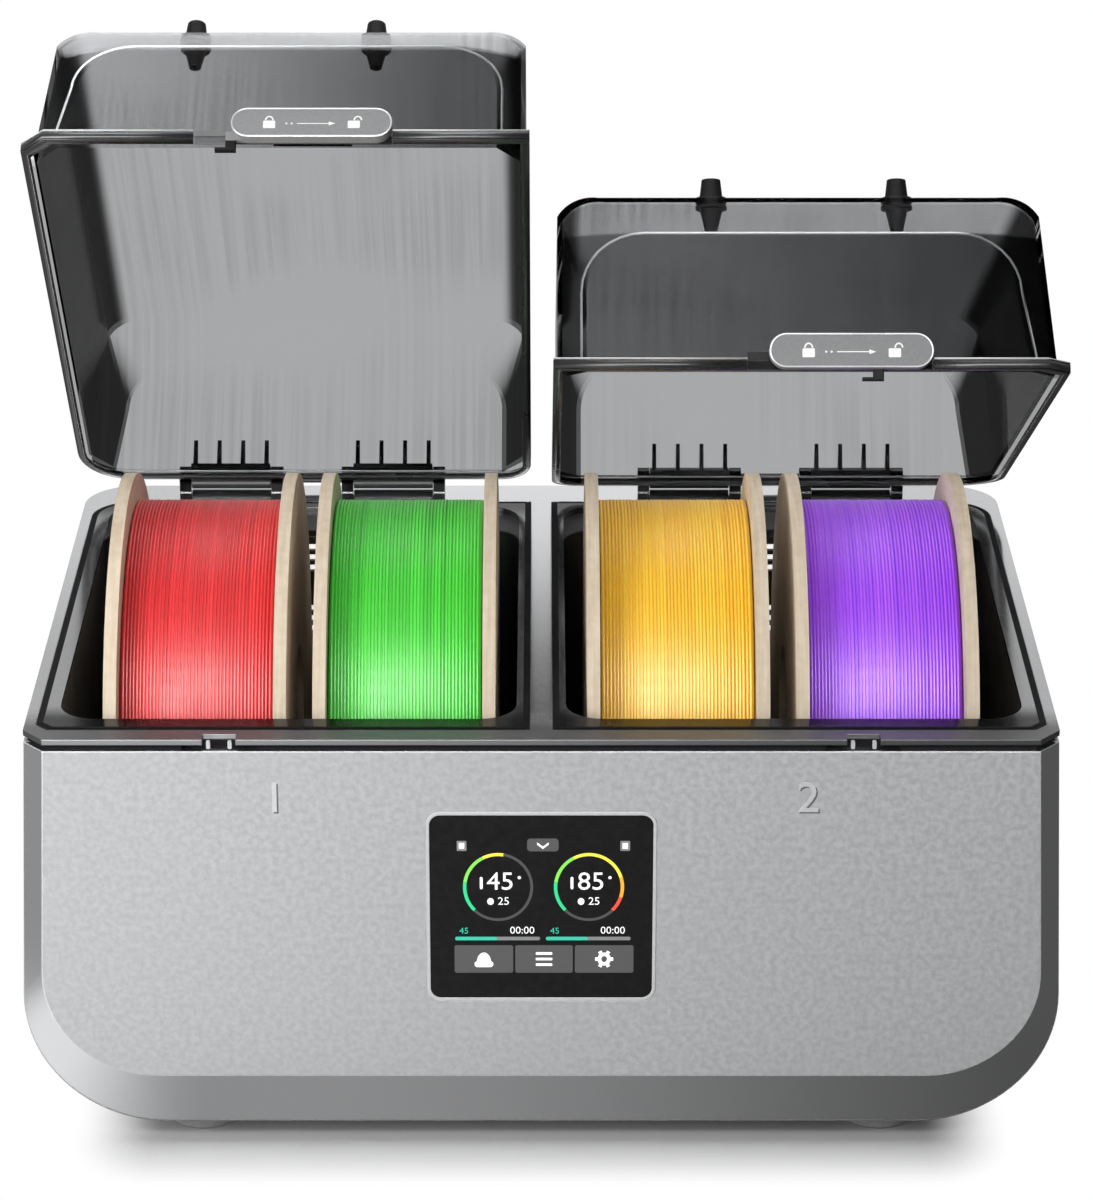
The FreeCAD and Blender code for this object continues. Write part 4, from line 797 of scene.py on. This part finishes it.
def winding(number):
    """Full winding of filament on a spool: close turns over the layers below."""
    low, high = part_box("filament_core_%d" % number)
    spool_low, spool_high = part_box("spool_%d" % number)
    centre = Vector(((spool_low[0] + spool_high[0]) / 2, (spool_low[1] + spool_high[1]) / 2,
                     (spool_low[2] + spool_high[2]) / 2))
    strand = STRAND_R * MM
    outer = WIND_R * MM - strand
    half = (high[0] - low[0]) / 2 - strand
    pitch = 2 * half / TURNS
    sway = [RANDOM.uniform(-TURN_SWAY, TURN_SWAY) for _ in range(TURNS + 2)]
    lift = [RANDOM.uniform(-TURN_DIP, 0.0) for _ in range(TURNS + 2)]
    path = []
    for step in range(TURNS * TURN_STEPS + 1):
        turn = step / TURN_STEPS
        whole = min(int(turn), TURNS)
        share = turn - whole
        wander = sway[whole] * (1 - share) + sway[whole + 1] * share
        rise = lift[whole] * (1 - share) + lift[whole + 1] * share
        angle = 2 * math.pi * turn
        x = max(-half, min(half, -half + pitch * turn + wander * pitch))
        reach = outer + rise * MM
        path.append(centre + Vector((x, reach * math.cos(angle), reach * math.sin(angle))))
    key = "fil_%d" % number
    points, faces = tube(path, strand)
    under = outer + CORE_RISE * strand
    edge = half + CORE_REACH * strand
    bore = WIND_BORE_R * MM
    ring = [(-edge, bore), (-edge, under), (edge, under), (edge, bore)]
    core = []
    for step in range(CORE_STEPS):
        angle = 2 * math.pi * step / CORE_STEPS
        core += [centre + Vector((x, r * math.cos(angle), r * math.sin(angle))) for x, r in ring]
    core_faces = []
    for step in range(CORE_STEPS):
        here = step * 4
        there = ((step + 1) % CORE_STEPS) * 4
        for corner in range(4):
            nxt = (corner + 1) % 4
            core_faces.append((here + corner, there + corner, there + nxt, here + nxt))
    obj = piece("winding_%d" % number, [(points, faces, key), (core, core_faces, key)], "spool_%d" % number,
                True)
    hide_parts("filament_core_%d" % number, "filament_turns_%d" % number)


def crease_outline(bottom):
    """Crease round a lid's end wall, from the inner foot over rounded corners to the outer foot."""
    inner = LID_INNER + LID_BEVEL_SIDE
    outer = LID_OUTER - LID_BEVEL_SIDE
    top_outer = outer - LID_SLOPE
    high = LID_TOP - LID_BEVEL_TOP
    radius = LID_CREASE_R
    corner = (radius, radius)
    return ([(inner, bottom)] + arc_points(inner + radius, high - radius, corner, 180, 90)
            + arc_points(top_outer - radius, high - radius, corner, 90, 0) + [(outer, bottom)])


def lip_outline(grow):
    """Edge of a lid's lip in plan, from the front round the outer side and the back to the front again."""
    inner = LIP_INNER - grow
    outer = LIP_OUTER + grow
    front = LIP_FRONT - grow
    back = LIP_BACK + grow
    wide = LIP_WIDE_R + grow
    tight = LIP_TIGHT_R + grow
    corner = arc_points(outer - wide, back - wide, (wide, wide), 0, 90)
    corner += arc_points(inner + tight, back - tight, (tight, tight), 90, 180)
    return [(outer - LIP_CHAMFER, front), (outer, front + LIP_CHAMFER)] + corner + [(inner, front)]


def open_lip(side, grow):
    """Edge of a lid's lip in plan, opened where the latch sits in it."""
    first, last = sorted(SIGN[side] * edge for edge in NOTCH_X[side])
    front = LIP_FRONT - grow
    return [(last, front)] + lip_outline(grow) + [(first, front)]


def ribbon(outer, inner, low, high, place):
    """Upright band between two open plan outlines of equal length."""
    rows = [[place(x, y, z) for x, y in line] for line, z in
            ((outer, low), (outer, high), (inner, high), (inner, low))]
    count = len(outer)
    points = [point for row in rows for point in row]
    faces = []
    for row in range(4):
        after = (row + 1) % 4
        for index in range(count - 1):
            faces.append((row * count + index, row * count + index + 1,
                          after * count + index + 1, after * count + index))
    faces.append(tuple(row * count for row in range(4)))
    faces.append(tuple(row * count + count - 1 for row in range(3, -1, -1)))
    return points, faces


def lid_lines(side):
    """Painted highlight lines along a lid's creases and under its lip, and painted shade strips round its lip
    with a painted highlight line above.
    """
    body = "lid_" + side

    def place(x, y, z):
        return on_lid(side, x, y, z)

    crease = [place(x, LID_FRONT + CREASE_INSET + LID_LEAN * (z - LID_BOTTOM), z)
              for x, z in crease_outline(LID_BOTTOM + LIP_T)]
    edge = [place(x, y, LID_BOTTOM + LIP_T) for x, y in open_lip(side, -LIP_EDGE)]
    parts = [(*tube(crease, CREASE_WIRE * MM), "crease"), (*tube(edge, EDGE_WIRE * MM), "crease")]
    for outer, inner, low, high in LIP_PAINTED_SHADE_STRIPS:
        parts.append((*ribbon(open_lip(side, outer), open_lip(side, inner), LID_BOTTOM + low,
                              LID_BOTTOM + high, place), "lip"))
    under = [place(x, y, LID_BOTTOM + UNDER_Z) for x, y in lip_outline(-UNDER_INSET)[1:-1]]
    parts.append((*tube(under, UNDER_WIRE * MM), "crease"))
    piece("lid_painted_light_" + side, parts, body, True)


def latch_painted_shade(side):
    """Painted shade strip on the hood behind a latch, taller where the hook shows beside the pill."""
    first, last = NOTCH_X[side]
    middle = PILL_X[side] - PILL_W / 2 + TRACK_LAP
    low, tall, short = TRACK_Z
    front, back = (LID_FRONT - proud for proud in TRACK_Y)
    parts = []

    def place(x, y, z):
        return on_lid(side, SIGN[side] * x, y + LID_LEAN * (z - LID_BOTTOM), z)

    for low_x, high_x, top in ((first + TRACK_GAP, middle, tall), (middle, last - TRACK_GAP, short)):
        outline = [(low_x, low), (high_x, low), (high_x, top), (low_x, top)]
        parts.append((*slab([(x, LID_BOTTOM + z) for x, z in outline], front, back, place), "lip"))
    piece("latch_painted_shade_" + side, parts, "lid_" + side)


def filled(outlines, low, high, place, key):
    """Flat plate with holes between two heights, from closed plan outlines in millimetres."""
    curve = bpy.data.curves.new("plate", "CURVE")
    curve.dimensions = "2D"
    curve.fill_mode = "BOTH"
    curve.extrude = 0.5
    for outline in outlines:
        spline = curve.splines.new("POLY")
        spline.points.add(len(outline) - 1)
        for point, (x, y) in zip(spline.points, outline):
            point.co = (x, y, 0, 1)
        spline.use_cyclic_u = True
    points, faces = from_curve(curve)
    return [place(x, y, high if z > 0 else low) for x, y, z in points], faces, key


def ledge_outline(grow):
    """Edge of the ledge inside a lid seal, in plan."""
    radius = LEDGE_R + grow
    near, far = LEDGE_CUT
    slip = CUT_SHARE * grow
    return ([(LEDGE_INNER - grow, LEDGE_FRONT - grow), (near[0] + slip, near[1] - grow),
             (far[0] + grow, far[1] - slip)]
            + arc_points(*LEDGE_CENTRE, (radius, radius), 0, 90) + [(LEDGE_INNER - grow, LEDGE_BACK + grow)])


def ledge_trim():
    """Gloss ledge round each chamber opening, with the black seal line outside it."""
    low_x, high_x = CHAMBER_X
    low_y, high_y = CHAMBER_Y
    inner = []
    for x, y, start in ((high_x, low_y, -90), (high_x, high_y, 0), (low_x, high_y, 90), (low_x, low_y, 180)):
        inner += arc_points(x, y, (CHAMBER_R, CHAMBER_R), start, start + 90)
    seam = ledge_outline(SEAM_INSET)
    parts = []
    for side in (-1, 1):
        def place(x, y, z):
            return at(side * x, y, z)

        for outlines, high, key in (([seam, inner], LEDGE_HIGH, "trim"),
                                    ([ledge_outline(SEAL_PROUD), seam], SEAL_HIGH, "seal")):
            parts.append(filled(outlines, RIM_Z + LEDGE_LOW, RIM_Z + high, place, key))
    piece("ledge_trim", parts, "base")


def keeper_tabs():
    """Two pale stops in each latch notch of the rim."""
    parts = []
    for side in (-1, 1):
        for x in KEEPER_X:
            outline = rounded(side * x, RIM_Z - KEEPER_DROP, *KEEPER_SIZE, KEEPER_R, 3)
            parts.append((*slab(outline, *KEEPER_Y, at), "rim_line"))
    piece("keeper_tabs", parts, "base")


def panel_numerals():
    """Plain numerals that tell the chambers apart, each over a dark copy shifted down and to the right as a
    painted shadow.
    """
    parts = []
    for text, x in (("1", -NUMERAL_X), ("2", NUMERAL_X)):
        z = RIM_Z - NUMERAL_DROP
        parts.append(numerals(text, NUMERAL_SIZE, x, z, *NUMERAL_Y, at, "numeral"))
        # Painted shadow: the dark copy sits behind the numeral, shifted down and to the right.
        x += NUMERAL_SHADOW_SHIFT
        z -= NUMERAL_SHADOW_SHIFT
        parts.append(numerals(text, NUMERAL_SIZE, x, z, *NUMERAL_SHADOW_Y, at, "groove"))
    piece("panel_numerals", parts, "base")


def screen_marks():
    """Gauges, bars and buttons shown on the screen."""
    parts = []

    def flat(outline, key, lift=MARK_PROUD):
        parts.append((*slab([(x, RIM_Z - drop) for x, drop in outline], -lift, MARK_BACK, at), key))

    def number(text, size, x, drop, key="ui_white"):
        parts.append(numerals(text, size, x, RIM_Z - drop, -MARK_PROUD, MARK_BACK, at, key))

    for x, share in GAUGES:
        for start in (0, 90, 180, 270):
            flat(arc_band(x, GAUGE_DROP, GAUGE_RADII, 1.1, start, start + 90, 16), "ui_track", MARK_LOW)
        for index in range(int(GAUGE_STEPS * share)):
            key = "ui_%d" % sum(index / GAUGE_STEPS >= edge for edge in GAUGE_COLOURS)
            start = GAUGE_START + GAUGE_SWEEP * index / GAUGE_STEPS
            flat(arc_band(x, GAUGE_DROP, GAUGE_RADII, 1.3, start, start + GAUGE_STEP_ANGLE, 3), key)
    for text, x in READINGS:
        number(text, READING_SIZE, x, READING_DROP)
    for x in SMALL_X:
        number("25", SMALL_SIZE, x + 1.6, SMALL_DROP)
        flat(arc_band(x - 3.4, SMALL_DROP, (1.3, 1.5), 1.29, 0, 360, 10), "ui_white")
        flat(rounded(x + 7.6, 57.5, 1.3, 1.3, 0.6, 3), "ui_white")
        flat(rounded(x - 6.9, 59.8, 1.1, 5.2, 0.5, 3), "ui_white")
    for x in SPOT_X:
        flat(rounded(x, SPOT_DROP, 3.7, 4.2, 0.4), "ui_pale")
        flat(rounded(x, SPOT_DROP, 2.1, 2.5, 0.3), "ui_white", MARK_OVER)
    flat(rounded(TAB_X, TAB_DROP, *TAB_SIZE, TAB_R), "ui_grey")
    flat([(TAB_X + x, TAB_DROP + drop) for x, drop in ARROW], "ui_white", MARK_OVER)
    for low, high in BARS:
        middle = (low + high) / 2
        flat(rounded(middle, BAR_DROP, high - low, BAR_H, BAR_R), "ui_pale")
        flat(rounded(low + BAR_DONE / 2, BAR_DROP, BAR_DONE, BAR_H, BAR_R), "ui_teal", MARK_OVER)
        number("45", 3.6, low + 3.4, 80.2, "ui_teal")
        number("00:00", 4.3, high - 6.8, 80.0)
    for index, (low, high) in enumerate(BUTTONS):
        x = (low + high) / 2
        flat(rounded(x, BUTTON_DROP, high - low, BUTTON_H, BUTTON_R), "ui_grey")
        if index == 0:
            flat(rounded(x, 94.4, 7.2, 2.6, 1.2), "ui_white", MARK_TOP)
            flat(arc_band(x, 93.4, (2.7, 4.0), 2.6, 180, 360, 12), "ui_white", MARK_TOP + 0.01)
        elif index == 1:
            for row in range(3):
                flat(rounded(x, 89.8 + 2.4 * row, 6.4, 1.1, 0.4), "ui_white", MARK_TOP)
        else:
            flat(arc_band(x, BUTTON_DROP, (2.6, 2.8), 1.5, 0, 360, 24), "ui_white", MARK_TOP)
            for tooth in range(0, 360, 60):
                outline = arc_band(x, BUTTON_DROP, (3.5, 3.8), 1.3, tooth - 13, tooth + 13, 4)
                flat(outline, "ui_white", MARK_TOP)
    piece("screen_marks", parts, "base")


def latch_marks(side):
    """Closed padlock, arrow and open padlock on a latch pill, and a pale line round the pill's edge as a
    painted highlight.
    """
    centre = PILL_X[side]
    middle = LID_BOTTOM + PILL_Z + PILL_H / 2
    parts = []

    def place(x, y, z):
        return on_lid(side, SIGN[side] * (centre + x), y, z)

    def flat(outline):
        parts.append((*slab([(x, middle + z) for x, z in outline], *PILL_MARK_Y, place), "mark"))

    for x, lean in ((-16.0, 0.0), (16.0, 1.5)):
        flat(rounded(x, -1.0, 4.6, 3.4, 0.4, 3))
        flat(arc_band(x + lean, 0.9, (1.7, 2.0), 0.6, 0, 180, 10))
    for x in (-9.5, -7.5):
        flat(rounded(x, -0.6, 0.8, 0.8, 0.35, 3))
    flat(rounded(0.5, -0.6, 12.0, 0.35, 0.1, 2))
    flat([(6.5, -1.5), (9.0, -0.6), (6.5, 0.3)])
    # Painted highlight: a pale line round the pill's edge.
    edge = rounded(0.0, middle, PILL_W - PILL_LINE, PILL_H - PILL_LINE, PILL_LINE_R, 8)
    line = [place(x, PILL_LINE_Y, z) for x, z in edge]
    parts.append((*tube(line, PILL_WIRE * MM, True), "rim_line"))
    piece("latch_marks_" + side, parts, "latch_" + side)


def floor():
    """White floor that keeps the shadow near the object under a darker tone that is painted shade, and throws
    back little light; what gloss sees of it is a glow that paints reflected light and shade, bright at the
    left and dark under the front and to the right.
    """
    made, tree, shader = node_tree("floor_white")
    path = tree.nodes.new("ShaderNodeLightPath")
    glossy = calc(tree, "SUBTRACT", path.outputs["Is Glossy Ray"], path.outputs["Is Transmission Ray"])
    glossy = calc(tree, "MAXIMUM", glossy, 0.0)
    looked_at = calc(tree, "MAXIMUM", path.outputs["Is Camera Ray"], path.outputs["Is Transmission Ray"])
    coords = tree.nodes.new("ShaderNodeTexCoord")
    place = coords.outputs["Object"]
    across = along(tree, place, (0, 0, 0), (1, 0, 0))
    deep = along(tree, place, (0, 0, 0), (0, 1, 0))
    # Painted shade: near the object the camera sees the floor darker than white.
    tone = mixed(tree, looked_at, FLOOR_BOUNCE, FLOOR_PAINTED_SHADE_TONE)
    tree.links.new(tone, shader.inputs["Base Color"])
    shader.inputs["Roughness"].default_value = 0.8
    shader.inputs["Specular IOR Level"].default_value = 0.1
    outside = []
    for value, half in ((across, FLOOR_HALF[0]), (deep, FLOOR_HALF[1])):
        past = calc(tree, "MAXIMUM", calc(tree, "SUBTRACT", calc(tree, "ABSOLUTE", value), half), 0.0)
        outside.append(calc(tree, "MULTIPLY", past, past))
    far = calc(tree, "SQRT", calc(tree, "ADD", outside[0], outside[1]))
    open_floor = calc(tree, "MULTIPLY", span(tree, far, FLOOR_FADE, (0.0, 1.0)), looked_at)
    # Painted reflection: the glow that gloss alone sees is bright at the left and dark under the front and to
    # the right.
    front_card = span(tree, across, CARD_FRONT, GLOSS_FRONT)
    far_left = span(tree, across, CARD_LEFT, (GLOSS_SIDE, 1.0))
    under = span(tree, across, CARD_UNDER, (1.0, GLOSS_UNDER[0]))
    right = span(tree, across, CARD_RIGHT, (1.0, GLOSS_UNDER[1]))
    near_card = calc(tree, "MULTIPLY", calc(tree, "MULTIPLY", far_left, under), right)
    near = span(tree, deep, CARD_NEAR, (0.0, 1.0))
    card = mixed(tree, near, front_card, near_card)
    glow = tree.nodes.new("ShaderNodeEmission")
    tree.links.new(mixed(tree, glossy, 1.0, card), glow.inputs["Strength"])
    mix = tree.nodes.new("ShaderNodeMixShader")
    tree.links.new(calc(tree, "MAXIMUM", open_floor, glossy), mix.inputs[0])
    tree.links.new(shader.outputs[0], mix.inputs[1])
    tree.links.new(glow.outputs[0], mix.inputs[2])
    tree.links.new(mix.outputs[0], tree.nodes["Material Output"].inputs["Surface"])
    mesh = bpy.data.meshes.new("floor")
    corners = [(x * FLOOR_SIZE, y * FLOOR_SIZE, 0) for x, y in ((-1, -1), (1, -1), (1, 1), (-1, 1))]
    mesh.from_pydata(corners, [], [(0, 1, 2, 3)])
    mesh.materials.append(made)
    obj = bpy.data.objects.new("floor", mesh)
    obj.location.z = -FLOOR_DROP
    bpy.context.scene.collection.objects.link(obj)


def surround():
    """White surround, with darker sides and a graded ceiling where gloss and glass look."""
    world = bpy.data.worlds.new("studio")
    bpy.context.scene.world = world
    world.use_nodes = True
    tree = world.node_tree
    back = tree.nodes["Background"]
    back.inputs["Color"].default_value = (1, 1, 1, 1)
    coords = tree.nodes.new("ShaderNodeTexCoord")
    aside = calc(tree, "ABSOLUTE", along(tree, coords.outputs["Generated"], (0, 0, 0), (1, 0, 0)))
    flags = span(tree, aside, SIDE_FROM, (1.0, SIDE_LEVEL))
    path = tree.nodes.new("ShaderNodeLightPath")
    through = path.outputs["Is Transmission Ray"]
    glossy = path.outputs["Is Glossy Ray"]
    height = along(tree, coords.outputs["Generated"], (0, 0, 0), (0, 0, 1))
    middle = span(tree, aside, MIDDLE_TO, (1.0, 0.0))
    ceiling = mixed(tree, middle, AROUND_LEVEL, span(tree, height, CEILING, (1.0, CEILING_LEVEL)))
    gloss = calc(tree, "MULTIPLY", flags, mixed(tree, through, ceiling, 1.0))
    level = mixed(tree, calc(tree, "MAXIMUM", glossy, through), WORLD_LEVEL, gloss)
    tree.links.new(mixed(tree, path.outputs["Is Camera Ray"], level, 1.0), back.inputs["Strength"])


def lamps():
    """Soft key from the left, a front light, a wide strip that only gloss sees and a top light."""
    for name, place, target, size, power, gloss_only in LAMPS:
        lamp = bpy.data.lights.new(name, "AREA")
        lamp.shape = "RECTANGLE"
        lamp.size = size[0]
        lamp.size_y = size[1]
        lamp.energy = power
        obj = bpy.data.objects.new(name, lamp)
        obj.location = place
        obj.visible_diffuse = not gloss_only
        aim = Vector(target) - Vector(place)
        obj.rotation_euler = aim.to_track_quat("-Z", "Y").to_euler()
        bpy.context.scene.collection.objects.link(obj)


def camera():
    """Camera at the photograph's place, from the fitted view."""
    data = bpy.data.cameras.new("camera")
    data.sensor_width = 36.0
    data.lens = FOCAL_PX / IMAGE[1] * data.sensor_width
    data.shift_x = (IMAGE[0] / 2 - AXIS_PX[0]) / IMAGE[1]
    data.shift_y = (AXIS_PX[1] - IMAGE[1] / 2) / IMAGE[1]
    data.clip_start = 0.01
    obj = bpy.data.objects.new("camera", data)
    obj.location = at(0, -VIEW_BACK, RIM_Z + VIEW_UP)
    obj.rotation_euler = (math.radians(90 - VIEW_PITCH), 0, 0)
    bpy.context.scene.collection.objects.link(obj)
    bpy.context.scene.camera = obj


bpy.context.scene.view_settings.view_transform = "Standard"
camera()
dress()
for spool_number in range(1, 5):
    winding(spool_number)
for lid_side in ("left", "right"):
    lid_lines(lid_side)
    latch_painted_shade(lid_side)
    latch_marks(lid_side)
ledge_trim()
keeper_tabs()
panel_numerals()
screen_marks()
floor()
surround()
lamps()
bpy.context.view_layer.update()
